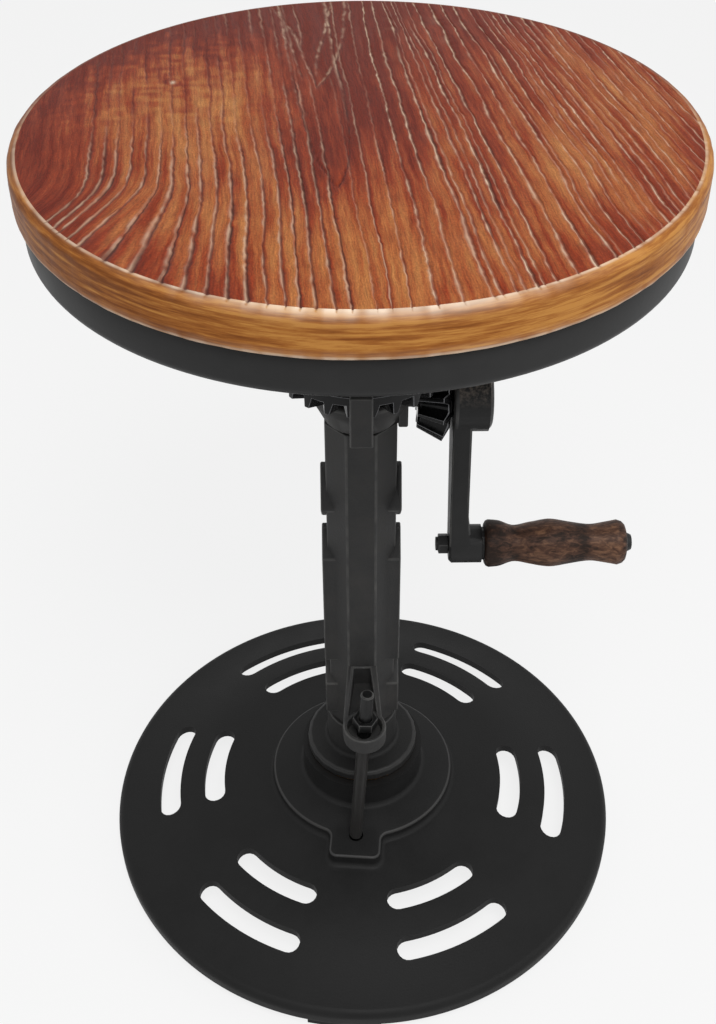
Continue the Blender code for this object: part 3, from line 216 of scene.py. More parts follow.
class StoolGripSettings(bpy.types.PropertyGroup):
    """Sizes and colours of the turned grip."""

    end_radius: length("End radius", "Radius by the crank arm", 13.8)
    waist_radius: length("Waist radius", "Radius of both waists", 10.7)
    belly_radius: length("Belly radius", "Radius of the middle", 13.8)
    tip_radius: length("Tip radius", "Radius of the free end", 13.1)
    bore: length("Bore", "Radius of the hole for the axle", 4.5)
    lumps: length("Lumps", "How uneven the turned surface is", 0.4)
    char: colour("Char", "Scorched grain", "#20140d")
    brown: colour("Brown", "Oiled timber", "#4a3226")
    tan: colour("Tan", "Timber rubbed bare", "#7d5b44")


class StoolStageSettings(bpy.types.PropertyGroup):
    """Backdrop, light and camera."""

    backdrop: colour("Backdrop", "Colour of the floor and what is behind", "#f5f5f5")
    floor: colour("Floor", "Colour that the floor shows of itself", "#fafafa")
    glow: amount("Floor share", "Share of that colour, the rest taking shadows", 0.86, subtype="FACTOR")
    surround: amount("Surround", "Light from all round", 0.42, min=0)
    key: amount("Key", "Power of the soft light above", 17, unit="POWER")
    rim: amount("Rim", "Power of the soft light at the right", 4, unit="POWER")
    camera_place: FloatVectorProperty(
        name="Camera", description="Where the camera stands", default=(-0.00428, -0.60035, 0.79597),
        subtype="TRANSLATION", unit="LENGTH",
    )
    tilt: angle("Tilt", "Camera's tilt up from straight down", 51.501)
    roll: angle("Roll", "Camera's roll", -0.507)
    lens: amount("Lens", "Focal length in mm on a 36 mm sensor", 48.24, unit="CAMERA")
    shift_x: amount("Shift right", "Sideways shift of the lens, as a share of the frame", 0.0047)
    shift_y: amount("Shift up", "Upward shift of the lens, as a share of the frame", -0.0603)


SETTINGS = {
    "stool_seat": StoolSeatSettings,
    "stool_base": StoolBaseSettings,
    "stool_metal": StoolMetalSettings,
    "stool_grip": StoolGripSettings,
    "stool_stage": StoolStageSettings,
}


def add_node(tree, kind, settings=None, links=None, give=0):
    """Adds a shader node, sets its values, links sockets into it and returns one of its outputs."""
    node = tree.nodes.new("ShaderNode" + kind)
    for name, value in (settings or {}).items():
        if name == "stops":
            ramp = node.color_ramp.elements
            while len(ramp) < len(value):
                ramp.new(1.0)
            for stop, (place, shade) in zip(ramp, value):
                stop.position = place
                stop.color = (*shade, 1)
        elif isinstance(name, int) or name in node.inputs:
            node.inputs[name].default_value = value
        else:
            setattr(node, name, value)
    for name, source in (links or {}).items():
        tree.links.new(source, node.inputs[name])
    return node.outputs[give] if node.outputs else None


def empty_tree(owner):
    owner.use_nodes = True
    owner.node_tree.nodes.clear()
    return owner.node_tree


def new_material(name, specular=0.5):
    """A material with its node tree, its shader and the place on the object."""
    material = bpy.data.materials.new(name)
    tree = empty_tree(material)
    surface = add_node(tree, "BsdfPrincipled", {"Specular IOR Level": specular})
    add_node(tree, "OutputMaterial", links={"Surface": surface})
    return material, tree, surface.node, add_node(tree, "TexCoord", give="Object")


def grain_noise(tree, place, sizes, detail, roughness, distortion=0.0):
    """Noise with grains of the given sizes along each axis, in millimetres."""
    spread = add_node(tree, "Mapping", {"Scale": [1000 / size for size in sizes]}, {"Vector": place})
    settings = {"Scale": 1.0, "Detail": detail, "Roughness": roughness, "Distortion": distortion}
    return add_node(tree, "TexNoise", settings, {"Vector": spread})


def dress(tree, shader, tone, marks, gloss, height=None, strength=0.5, relief=0.2):
    """Gives a shader its tone, a roughness that follows the marks, and a relief in millimetres."""
    ends = {"From Min": 0.3, "From Max": 0.7, "To Min": gloss[0], "To Max": gloss[1]}
    tree.links.new(tone, shader.inputs["Base Color"])
    tree.links.new(add_node(tree, "MapRange", ends, {"Value": marks}), shader.inputs["Roughness"])
    if height:
        bump = add_node(tree, "Bump", {"Strength": strength, "Distance": relief * MM}, {"Height": height})
        tree.links.new(bump, shader.inputs["Normal"])


def painted_metal(name, dark, light, grit, blotch, relief, gloss, specular):
    """Enamel over cast, pressed or forged metal: fine grit in the surface and slow changes of tone.

    Grit, blotch and relief are in millimetres."""
    material, tree, shader, place = new_material(name, specular)
    slow = grain_noise(tree, place, [blotch] * 3, 4.0, 0.62)
    fine = grain_noise(tree, place, [grit] * 3, 3.0, 0.55)
    tone = add_node(tree, "ValToRGB", {"stops": ((0.36, dark), (0.70, light))}, {"Fac": slow})
    dress(tree, shader, tone, slow, gloss, fine, 0.6, relief)
    return material


def retone(material, tint, low, high, at_low, at_high, fleck=None):
    """Mixes a tint into a material's colour by a share that changes with height, in flecks if given."""
    tree = material.node_tree
    base = tree.nodes["Principled BSDF"].inputs["Base Color"]
    place = tree.nodes["Texture Coordinate"].outputs["Object"]
    height = add_node(tree, "SeparateXYZ", links={"Vector": place}, give="Z")
    ends = {"From Min": low, "From Max": high, "To Min": at_low, "To Max": at_high}
    share = add_node(tree, "MapRange", ends, {"Value": height})
    if fleck:
        share = add_node(tree, "Math", {"operation": "MULTIPLY", "use_clamp": True}, {0: share, 1: fleck})
    links = {0: share, 6: base.links[0].from_socket}
    tree.links.new(add_node(tree, "Mix", {"data_type": "RGBA", 7: (*tint, 1)}, links, 2), base)
    return material


def cast_iron(metal):
    # Sand-cast iron under matt black enamel: a fine pebbled skin that scatters light, painted darker towards
    # the foot as painted shade
    material = painted_metal(
        "Sand-cast iron, black enamel", metal.iron, metal.iron_worn, 1.3, 22, 0.30, (0.50, 0.66), 0.2
    )
    return retone(material, metal.shaded_base_coat, FOOT_Z + 8 * MM, FOOT_Z + 60 * MM, 0.8, 0.0)


def shaded_base_iron(metal):
    # Sand-cast iron under the castings' black enamel, painted blacker on the base as painted shade
    return painted_metal(
        "Sand-cast iron, black enamel in painted shade", metal.shaded_base_coat, metal.shaded_base_worn, 1.1, 30, 0.24, (0.5, 0.62), 0.17
    )


def rubbed_and_highlit_iron(metal):
    # Arrises of castings and forgings: enamel thinned to dark grey by handling and lightened as a painted
    # highlight, painted darker towards the foot as painted shade
    material = painted_metal(
        "Iron arris, rubbed enamel and painted highlight", metal.iron, metal.rubbed, 1.6, 12, 0.15, (0.42, 0.56), 0.3
    )
    return retone(material, metal.shaded_base_worn, FOOT_Z + 8 * MM, FOOT_Z + 60 * MM, 0.8, 0.0)


def rubbed_and_highlit_coat(metal):
    # Edge of the base's pad: dark grey, partly enamel rubbed thin and partly a painted highlight on the
    # base's painted shade
    return painted_metal(
        "Base pad arris, rubbed and painted highlight", metal.iron, metal.rubbed_and_highlit_coat, 1.6, 12, 0.15, (0.42, 0.56), 0.3
    )


def pressed_steel(metal):
    # Pressed sheet under baked black enamel: smoother than the castings, with a soft broad highlight
    return painted_metal(
        "Pressed steel, baked black enamel", metal.steel, metal.iron, 2.4, 45, 0.06, (0.40, 0.50), 0.14
    )


def forged_steel(metal):
    # Forged steel under black enamel, rubbed to brown scale in flecks on top of the crank's hub
    material = painted_metal(
        "Forged steel, worn black enamel", metal.forged, metal.steel, 1.8, 16, 0.2, (0.44, 0.58), 0.2
    )
    tree = material.node_tree
    scuff = grain_noise(tree, tree.nodes["Texture Coordinate"].outputs["Object"], [3.2] * 3, 5.0, 0.7)
    fleck = add_node(tree, "MapRange", {"From Min": 0.42, "From Max": 0.66}, {"Value": scuff})
    return retone(material, metal.steel_worn, ARM_HIGH.z - 15 * MM, ARM_HIGH.z - 5 * MM, 0.0, 1.2, fleck)


def blacked_steel(metal):
    # Turned steel, blacked in hot oil: nearly black, with a soft narrow highlight, and lighter grey below the
    # lug
    material = painted_metal(
        "Turned steel, blacked", metal.grease, metal.shaded_base_coat, 1.2, 9, 0.05, (0.26, 0.4), 0.26
    )
    return retone(material, metal.rubbed_and_highlit_coat, NUT_Z - 14 * MM, NUT_Z - 6 * MM, 0.85, 0.0)


def rubber(metal):
    # Moulded black rubber: dull, with a fine mould grain
    return painted_metal("Moulded black rubber", metal.rubber, metal.iron, 0.9, 14, 0.12, (0.78, 0.9), 0.25)


def bare_metal(name, tint, roughness, scratch):
    """Turned metal: fine tool marks, in millimetres, that only change its gloss and its tone."""
    material, tree, shader, place = new_material(name)
    shader.inputs["Metallic"].default_value = 1.0
    marks = grain_noise(tree, place, [scratch] * 3, 4.0, 0.6)
    stops = ((0.3, [0.72 * part for part in tint]), (0.7, tint))
    tone = add_node(tree, "ValToRGB", {"stops": stops}, {"Fac": marks})
    dress(tree, shader, tone, marks, (roughness - 0.08, roughness + 0.1))
    return material


def bright_steel(metal):
    # Turned mild steel: silver grey with tool marks
    return bare_metal("Turned mild steel", metal.bright, 0.34, 0.8)


def bronze(metal):
    # Bearing bronze: dull gold
    return bare_metal("Bearing bronze", metal.bronze, 0.38, 1.2)


def rubbed_teeth(metal):
    # Edges of the gear teeth, where the grease has been squeezed off dark steel
    return bare_metal("Gear tooth edge", metal.tooth, 0.28, 1.5)


def greased_steel(metal):
    # Cut gear steel in black grease: wet, with sharp highlights on the tooth edges
    material, tree, shader, place = new_material("Gear steel, black grease", 0.18)
    smear = grain_noise(tree, place, [6] * 3, 3.0, 0.5)
    stops = ((0.35, metal.grease), (0.75, metal.thin_grease))
    tone = add_node(tree, "ValToRGB", {"stops": stops}, {"Fac": smear})
    dress(tree, shader, tone, smear, (0.12, 0.3), smear)
    return material


# What each point of the seat's mesh tells its material
SEAT_MARKS = ("dark_pore", "pale_pore", "warmth", "edge", "worn")


def brushed_timber(seat):
    # Stained elm, wire-brushed: red hard grain, gold between, stain and wax in the brushed pores with painted
    # shade and painted highlight on the grooves' walls, and a rim that is partly painted highlight
    material, tree, shader, place = new_material("Stained elm, wire-brushed", 0.10)
    grain = add_node(tree, "Attribute", {"attribute_name": "grain"}, give="Vector")
    marks = {mark: add_node(tree, "Attribute", {"attribute_name": mark}, give="Fac") for mark in SEAT_MARKS}
    # Across and along the grain, in millimetres: broad bands, growth bands, fibres and specks
    broad, bands, fibre, speck = [
        grain_noise(tree, grain, (across, along, along), detail, 0.62)
        for across, along, detail in ((24, 130, 3.0), (4.2, 70, 4.0), (0.7, 11, 4.0), (0.6, 1.5, 2.0))
    ]
    blend = add_node(tree, "Mix", {"data_type": "FLOAT", 0: 0.6}, {2: broad, 3: bands})
    warm = add_node(tree, "Math", {"operation": "ADD"}, {0: blend, 1: marks["warmth"]})
    stops = ((0.28, seat.deep), (0.42, seat.red), (0.53, seat.orange), (0.68, seat.gold))
    top = add_node(tree, "ValToRGB", {"stops": stops}, {"Fac": warm})
    for noise, least, most in ((fibre, 0.70, 1.26), (speck, 0.78, 1.22)):
        ends = {"From Min": 0.32, "From Max": 0.68, "To Min": least, "To Max": most}
        fleck = add_node(tree, "MapRange", ends, {"Value": noise})
        multiply = {"data_type": "RGBA", "blend_type": "MULTIPLY", 0: 1.0}
        top = add_node(tree, "Mix", multiply, {6: top, 7: fleck}, 2)
    # Round the edge the grain shows as streaks that lie flat
    streak = grain_noise(tree, place, (34, 34, 2.2), 5.0, 0.66)
    streak = add_node(tree, "Math", {"operation": "ADD"}, {0: streak, 1: marks["warmth"]})
    stops = ((0.32, seat.edge_dark), (0.47, seat.edge_brown), (0.60, seat.edge_gold))
    side = add_node(tree, "ValToRGB", {"stops": stops}, {"Fac": streak})
    shade = add_node(tree, "Mix", {"data_type": "RGBA"}, {0: marks["edge"], 6: top, 7: side}, 2)
    # Pale pores carry painted highlight, the pale rim painted highlight at the front, and dark pores painted
    # shade
    for mark, tint in (("pale_pore", seat.pale), ("worn", seat.worn), ("dark_pore", seat.dark)):
        tinted = {"data_type": "RGBA", 7: (*tint, 1)}
        shade = add_node(tree, "Mix", tinted, {0: marks[mark], 6: shade}, 2)
    dress(tree, shader, shade, bands, (0.52, 0.38), fibre, 0.5, 0.15)
    return material


# Place along the grip, and how light its timber is there: darker by the crank and at the second waist, and
# lighter in the middle and at the tip
GRIP_TONE = (
    (0.0, 0.06), (0.10, 0.10), (0.16, 0.18), (0.42, 0.23), (0.60, 0.18), (0.69, 0.13), (0.80, 0.25),
    (0.93, 0.26), (1.0, 0.12),
)
GRIP_TONE_MEAN = 0.2


def burnt_timber(grip):
    # Scorched and oiled hardwood: char, brown timber and tan patches, darker and lighter along the grip
    material, tree, shader, place = new_material("Scorched hardwood, oiled", 0.2)
    # Along and across the grip, in millimetres: patches, figure and fibres
    patch, figure, fibre = [
        grain_noise(tree, place, (along, across, across), detail, 0.66, 0.8)
        for along, across, detail in ((17, 9, 3.0), (6.5, 2.6, 5.0), (4, 0.8, 3.0))
    ]
    run = add_node(tree, "SeparateXYZ", links={"Vector": place}, give="X")
    share = add_node(tree, "MapRange", {"From Min": GRIP_LOW.x, "From Max": GRIP_HIGH.x}, {"Value": run})
    stops = [(at, (grey,) * 3) for at, grey in GRIP_TONE]
    tone_along = add_node(tree, "ValToRGB", {"stops": stops}, {"Fac": share})
    mixed = add_node(tree, "Mix", {"data_type": "FLOAT", 0: 0.6}, {2: patch, 3: figure})
    mixed = add_node(tree, "Math", {"operation": "ADD"}, {0: mixed, 1: tone_along})
    mixed = add_node(tree, "Math", {"operation": "SUBTRACT", 1: GRIP_TONE_MEAN}, {0: mixed})
    stops = ((0.40, grip.char), (0.52, grip.brown), (0.68, grip.tan))
    tone = add_node(tree, "ValToRGB", {"stops": stops}, {"Fac": mixed})
    dress(tree, shader, tone, mixed, (0.62, 0.42), fibre, 0.6, 0.25)
    return material


# Finishes in each slot, and the settings that they are made from
SLOTS = {
    "black_cast_iron": ("stool_metal", cast_iron, shaded_base_iron, rubbed_and_highlit_iron, rubbed_and_highlit_coat),
    "black_steel": ("stool_metal", pressed_steel, forged_steel, blacked_steel),
    "greased_steel": ("stool_metal", greased_steel, rubbed_teeth),
    "bright_steel": ("stool_metal", bright_steel),
    "bronze": ("stool_metal", bronze),
    "rubber": ("stool_metal", rubber),
    "seat_wood": ("stool_seat", brushed_timber),
    "grip_wood": ("stool_grip", burnt_timber),
}
FINISHES = {make.__name__: (slot, group, make) for slot, (group, *makers) in SLOTS.items() for make in makers}
# Finish that shows on a piece's arrises: rubbed, and on the enamels lighter as a painted highlight
RUBBED_AND_HIGHLIT = {
    "cast_iron": "rubbed_and_highlit_iron",
    "shaded_base_iron": "rubbed_and_highlit_coat",
    "forged_steel": "rubbed_and_highlit_iron",
    "greased_steel": "rubbed_teeth",
    "blacked_steel": "rubbed_and_highlit_iron",
}
MADE = {}


def finish(context, name):
    """The slot and the material of a finish, made the first time that it is asked for."""
    slot, group, make = FINISHES[name]
    if name not in MADE:
        MADE[name] = make(getattr(context.scene, group))
    return slot, MADE[name]


def add_piece(context, name, mesh, finish_name, node):
    """Sets a piece on its node's body, in the node's place."""
    slot, material = finish(context, finish_name)
    piece = bpy.data.objects.new(name, mesh)
    context.scene.collection.objects.link(piece)
    mesh.materials.append(material)
    # The arrises take a rubbed finish, lighter as a painted highlight on the enamels
    if finish_name in RUBBED_AND_HIGHLIT:
        mesh.materials.append(finish(context, RUBBED_AND_HIGHLIT[finish_name])[1])
    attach(piece, frame["nodes"][node]["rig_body"])
    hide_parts(node)
    return piece


def smooth(mesh, crease=SMOOTH_ANGLE):
    mesh.shade_smooth()
    mesh.set_sharp_from_angle(angle=crease)
    return mesh


def mesh_of(name, points, faces):
    mesh = bpy.data.meshes.new(name)
    mesh.from_pydata([tuple(point) for point in points], [], faces)
    mesh.validate()
    return smooth(mesh)


def strip_faces(rows, steps, closed):
    """Faces between rows of points that go round an axis, the last row joined to the first if closed."""
    faces = []
    for row in range(rows if closed else rows - 1):
        near, far = row * steps, (row + 1) % rows * steps
        for step in range(steps):
            after = (step + 1) % steps
            faces.append((near + step, far + step, far + after, near + after))
    return faces


def turned(name, profile, steps, place=None):
    """Turns (radius, height) points, listed down the outer side, about Z; ends on the axis are closed."""
    angles = [2 * math.pi * step / steps for step in range(steps)]
    capped = profile[0][0] == 0
    rows = profile[1:-1] if capped else profile
    points = [Vector((r * math.cos(a), r * math.sin(a), z)) for r, z in rows for a in angles]
    faces = strip_faces(len(rows), steps, not capped)
    if capped:
        top, foot = len(points), len(points) + 1
        points += [Vector((0, 0, profile[0][1])), Vector((0, 0, profile[-1][1]))]
        last = (len(rows) - 1) * steps
        for step in range(steps):
            after = (step + 1) % steps
            faces += [(top, step, after), (foot, last + after, last + step)]
    if place:
        points = [place @ point for point in points]
    return mesh_of(name, points, faces)


def arc(centre_r, centre_z, radius, start, end, count):
    """Points on a round stretch of a profile, angles in degrees from +r towards +z."""
    sweep = [math.radians(start + (end - start) * i / count) for i in range(count + 1)]
    return [(centre_r + radius * math.cos(a), centre_z + radius * math.sin(a)) for a in sweep]


def prism(name, outline, low, high):
    """A closed solid between two heights over a flat outline that runs anticlockwise."""
    count = len(outline)
    points = [(x, y, z) for z in (high, low) for x, y in outline]
    faces = strip_faces(2, count, False)
    faces += [tuple(range(count)), tuple(range(2 * count - 1, count - 1, -1))]
    return mesh_of(name, points, faces)


def carve(context, mesh, changes):
    """Joins solids to a mesh or cuts them from it, in order, and returns the result."""
    main = bpy.data.objects.new("carving", mesh)
    tools = [bpy.data.objects.new("carving_tool", tool_mesh) for _, tool_mesh in changes]
    for obj in (main, *tools):
        context.scene.collection.objects.link(obj)
    for (operation, _), tool in zip(changes, tools):
        change = main.modifiers.new("carve", "BOOLEAN")
        change.operation = operation
        change.solver = "EXACT"
        change.object = tool
    context.view_layer.update()
    carved = bpy.data.meshes.new_from_object(main.evaluated_get(context.evaluated_depsgraph_get()))
    for obj in (main, *tools):
        bpy.data.objects.remove(obj, do_unlink=True)
    return carved


def eased(mesh, width, segments=2):
    """Rounds a mesh's outer arrises in place, and gives them the mesh's second material, which is rubbed and,
    on the enamels, a painted highlight.
    """
    mesh.materials.clear()
    form = bmesh.new()
    form.from_mesh(mesh)
    bmesh.ops.remove_doubles(form, verts=form.verts, dist=0.01 * MM)
    bmesh.ops.dissolve_limit(form, angle_limit=math.radians(0.6), verts=form.verts, edges=form.edges)
    arrises = [
        edge
        for edge in form.edges
        if edge.is_manifold and edge.is_convex and edge.calc_face_angle(0) > SMOOTH_ANGLE
        and edge.calc_length() > 2.5 * width
    ]
    bmesh.ops.bevel(
        form, geom=arrises, offset=width, segments=segments, profile=0.5, affect="EDGES", clamp_overlap=False,
        material=1,
    )
    form.to_mesh(mesh)
    form.free()
    return smooth(mesh, CREASE_ANGLE)


def add_flat_piece(context, name, mesh, finish_name, node):
    """A piece whose flat faces shade flat up to their rounded arrises."""
    piece = add_piece(context, name, mesh, finish_name, node)
    weighted = piece.modifiers.new("flat_faces", "WEIGHTED_NORMAL")
    weighted.keep_sharp = True
    return piece


def eased_node(context, name, node, finish_name, width):
    """A copy of a CAD solid with rounded arrises, which stands for it."""
    add_flat_piece(context, name, eased(frame["nodes"][node].data.copy(), width), finish_name, node)


def rough(across, along, seed):
    """Smooth seeded noise between -1 and 1 over two arrays."""
    count = 64
    lattice = np.random.RandomState(seed).uniform(-1, 1, (count, count))
    i, k = np.floor(across).astype(int), np.floor(along).astype(int)
    a, b = across - i, along - k
    a, b = a * a * (3 - 2 * a), b * b * (3 - 2 * b)
    i, k = i % count, k % count
    i2, k2 = (i + 1) % count, (k + 1) % count
    near = lattice[i, k] * (1 - a) + lattice[i2, k] * a
    far = lattice[i, k2] * (1 - a) + lattice[i2, k2] * a
    return near * (1 - b) + far * b


def swell(value):
    """A smooth step from 0 to 1."""
    return 1 / (1 + np.exp(-value))


def hump(value):
    """A smooth rise to 1 and fall."""
    return np.exp(-value ** 2)


# Run of the seat's grain, in millimetres: lean to the right for each step forward, by place across the seat
GRAIN_PLACES = (-60, -20, 10, 45, 115)
GRAIN_LEANS = (0.11, 0.10, 0.075, 0.14, 0.21)
FAN_START = 60
FAN_SOFT = 6
FAN_SHARE = 0.07
FAN_PLACE = 66
FAN_SPREAD = 16
FAN_LIMIT = 2.1
KNOT = (-87, 51)
# Rows of points along the grain; rings round the edge that stay true, and that the top's stain runs over at
# the back, darker there as painted shade
SEAT_ROWS = 215
TRUE_RINGS = 3
STAINED_SHADED_RINGS = 7


def grain_x(u, y):
    """Where the grain line from u on the middle lies at y: it leans right and fans out at the left front."""
    fan = FAN_SHARE * np.exp(np.clip((-u - FAN_PLACE) / FAN_SPREAD, -9, FAN_LIMIT))
    past = FAN_SOFT * np.log1p(np.exp((-y - FAN_START) / FAN_SOFT))
    wander = 1.2 * rough(u / 16, y / 40, 3) + 0.34 * rough(u / 5, y / 8, 5) + 0.32 * rough(u / 3, y / 2.4, 7)
    return u - np.interp(u, GRAIN_PLACES, GRAIN_LEANS) * y - fan * past + wander


def groove_lines():
    """Place across the seat, strength and width of each brushed groove."""
    draw = np.random.RandomState(11)
    lines = []
    u = -131.0
    while u < 158:
        if u < -24:
            u += draw.uniform(5.3, 7.0)
            lines.append((u, draw.uniform(0.8, 1.0), draw.uniform(0.85, 1.15)))
        elif u < 3:
            u += draw.uniform(7, 12)
            lines.append((u, draw.uniform(0.35, 0.6), 0.75))
        elif u < 84:
            u += draw.uniform(7.0, 9.5)
            lines.append((u, draw.uniform(0.75, 1.0), draw.choice([0.85, 1.0, 1.25])))
            if draw.uniform() < 0.5:
                lines.append((u + draw.uniform(2.4, 3.2), draw.uniform(0.45, 0.7), 0.7))
        else:
            u += draw.uniform(3.4, 5.6)
            lines.append((u, draw.uniform(0.4, 0.95), draw.uniform(0.7, 1.0)))
    return lines


def cathedral_lines(y):
    """Grooves that close to a point at the front: place across the seat at each y, start and strength."""
    front, back, inner = y + 62, y - 43, y - 60
    arch = 11.5 * (1 - np.exp(-np.maximum(front, 0) / 28))
    past = np.maximum(back, 0)
    return (
        (-16 - arch, front, 0.75),
        (-16 + arch, front, 0.85),
        (-17 - 0.0012 * past ** 2, back, 0.6),
        (-17 + 24 * (1 - np.exp(-past / 45)), back, 0.7),
        (-15 + 0.14 * np.maximum(inner, 0), inner, 0.6),
        (-22 - 0.05 * past, back - 12, 0.45),
    )


def press_groove(layers, across, reach, dark, pale, stain):
    """Adds a groove to the layers; across is the distance from its middle in groove widths. Its dark stain
    lies to the right as painted shade in the groove, its pale wax on the left wall as painted highlight.
    """
    marks = {
        "depth": reach * hump(across / 0.75),
        "dark": dark * reach * hump((across - 0.45) / 0.5),
        "pale": pale * reach * hump((across + 0.8) / 0.8),
        "stain": stain * reach * np.exp(-np.maximum(across, -2.5 * across) / 3.0),
    }
    for name, mark in marks.items():
        layers[name] = np.maximum(layers[name], mark)


def pores(u, y, width):
    """Depth, dark stain with painted shade, pale wax with painted highlight, and red stain of the brushed
    grooves over the seat's top.
    """
    layers = {name: np.zeros_like(u) for name in ("depth", "dark", "pale", "stain")}
    ahead = swell((25 - y) / 24)
    near = swell((-22 - y) / 15)
    behind = swell((y - 55) / 16)
    for number, (middle, strength, wide) in enumerate(groove_lines()):
        lane = np.full_like(y, number * 2.3)
        left = swell((-2.0 - middle) / 6)
        far_right = swell((middle - 88) / 7)
        plain = swell((-52 - middle) / 6) * swell((y - 2) / 14)
        breaks = 0.62 + 0.05 * far_right + 0.8 * rough(lane, y / 34, 23)
        whole = 0.95 * left * near + 0.55 * ahead * (1 - far_right)
        reach = strength * np.clip(np.maximum(breaks, whole), 0, 1) * (1 - 0.45 * left * (1 - near))
        dashes = np.clip(0.75 + 0.65 * rough(lane + 0.7, y / 4.4, 29), 0.2, 1)
        dark = (0.30 + 0.65 * ahead) * (1 - 0.75 * far_right) * (1 - 0.6 * behind) * (0.75 + 0.25 * left)
        pale = dashes * (0.62 * left + 1.2 * (1 - left)) * (1 + 0.1 * far_right) * (1 - 0.85 * plain)
        stain = 1 - 0.6 * far_right + 0.5 * plain
        spread = width * wide * (1 + 0.45 * rough(lane, y / 7, 21)) * (1 + 0.08 * behind)
        press_groove(layers, (u - middle) / spread, reach, dark + 0.35 * plain, pale, stain)
    for number, (middle, start, strength) in enumerate(cathedral_lines(y)):
        lane = np.full_like(y, 140 + number * 2.3)
        dashes = np.clip(0.55 + 0.8 * rough(lane, y / 3.6, 29), 0.1, 1)
        whole = np.clip(start / 6 + 0.5, 0, 1)
        reach = strength * whole * np.clip(0.8 + 0.6 * rough(lane, y / 22, 23), 0, 1)
        spread = width * (1 + 0.4 * behind)
        press_groove(layers, (u - middle) / spread, reach, 1 - 0.75 * behind, dashes * behind, 1)
    knot = np.hypot(u - KNOT[0], (y - KNOT[1]) / 1.3)
    layers["pale"] = np.maximum(layers["pale"], hump(knot / 1.2))
    layers["stain"] = np.maximum(layers["stain"], hump(knot / 6) * (0.7 + 0.3 * np.cos(1.8 * knot)))
    return layers


def grain_columns(radius, width):
    """Columns of points that run along the grain, close together over each groove and over the cathedral."""
    offsets = np.array([-4.0, -2.6, -1.6, -0.95, -0.5, 0.0, 0.4, 0.85, 1.5, 2.8]) * width
    middles = np.array([line[0] for line in groove_lines()])
    spread = (middles[:, None] + offsets).ravel()
    ends = radius * np.cos(np.radians(np.arange(2.0, 44.0, 1.3)))
    close = [np.arange(-44, 14, 0.75), KNOT[0] + np.arange(-8, 8, 0.6)]
    least_gap = 0.27
    keep = []
    for column in np.sort(np.concatenate([spread, *close, ends, -ends])):
        if not keep or column - keep[-1] > least_gap:
            keep.append(column)
    return np.array(keep)


def chord(columns, radius):
    """The columns that cross a circle, and where each enters it at the front and leaves it at the back."""
    sweep = np.linspace(-radius, radius, 600)
    inside = grain_x(columns[:, None], sweep[None, :]) ** 2 + sweep[None, :] ** 2 < radius ** 2
    crosses = inside.sum(1) > 3
    columns, inside = columns[crosses], inside[crosses]
    first = inside.argmax(1)
    last = inside.shape[1] - 1 - inside[:, ::-1].argmax(1)
    ends = []
    for hit, step in ((first, -1), (last, 1)):
        good, bad = sweep[hit], sweep[np.clip(hit + step, 0, len(sweep) - 1)]
        for _ in range(24):
            middle = (good + bad) / 2
            held = grain_x(columns, middle) ** 2 + middle ** 2 < radius ** 2
            good, bad = np.where(held, middle, good), np.where(held, bad, middle)
        ends.append(good)
    return columns, *ends


def stain_warmth(u, y):
    """Slow changes of the stain: gold at the left and right, red in the middle, and redder and darker towards
    the back and near the rim.
    """
    span = np.hypot(u, y)
    warmth = 0.11 * hump((u + 72) / 42) * hump((y - 5) / 75)
    warmth += 0.03 * hump((u - 125) / 35)
    warmth += 0.09 * rough(u / 6, y / 3.4, 47) * swell((-48 - u) / 8) * swell((y - 6) / 12)
    warmth -= 0.21 * hump((u + 4) / 40) * swell((y + 55) / 18)
    warmth += 0.09 * hump((u + 6) / 30) * swell((-95 - y) / 14)
    warmth += 0.11 * hump((u + 55) / 34) * swell((-86 - y) / 10)
    warmth -= 0.08 * hump((u - 95) / 45) * swell((y - 40) / 22)
    warmth -= 0.12 * swell((y - 95) / 16)
    warmth -= 0.12 * swell((span - 128) / 9) * swell((-u - 30) / 14) * swell((y - 10) / 16)
    sides = swell((-u - 40) / 16) + swell((u - 70) / 12) * swell((-y - 20) / 14)
    return warmth - 0.16 * swell((span - 140) / 7) * sides


def rim_wear_and_highlight(turn):
    """How pale the rim is painted, in scuffs: in a thin line all round, bare timber that is brighter towards
    the front as painted highlight and faded at the back as painted shade, and in a band at the front that is
    painted highlight.
    """
    scuff = np.clip(0.85 + 0.5 * rough(turn * 40 + 130, 0 * turn, 37), 0, 1)
    off_front = turn + math.pi / 2 - 0.03
    ahead = 1 - 0.85 * swell((np.sin(turn) - 0.15) / 0.08)
    return scuff * ahead * (0.42 + 0.38 * hump(off_front / 0.9)), scuff * hump(off_front / 0.4)


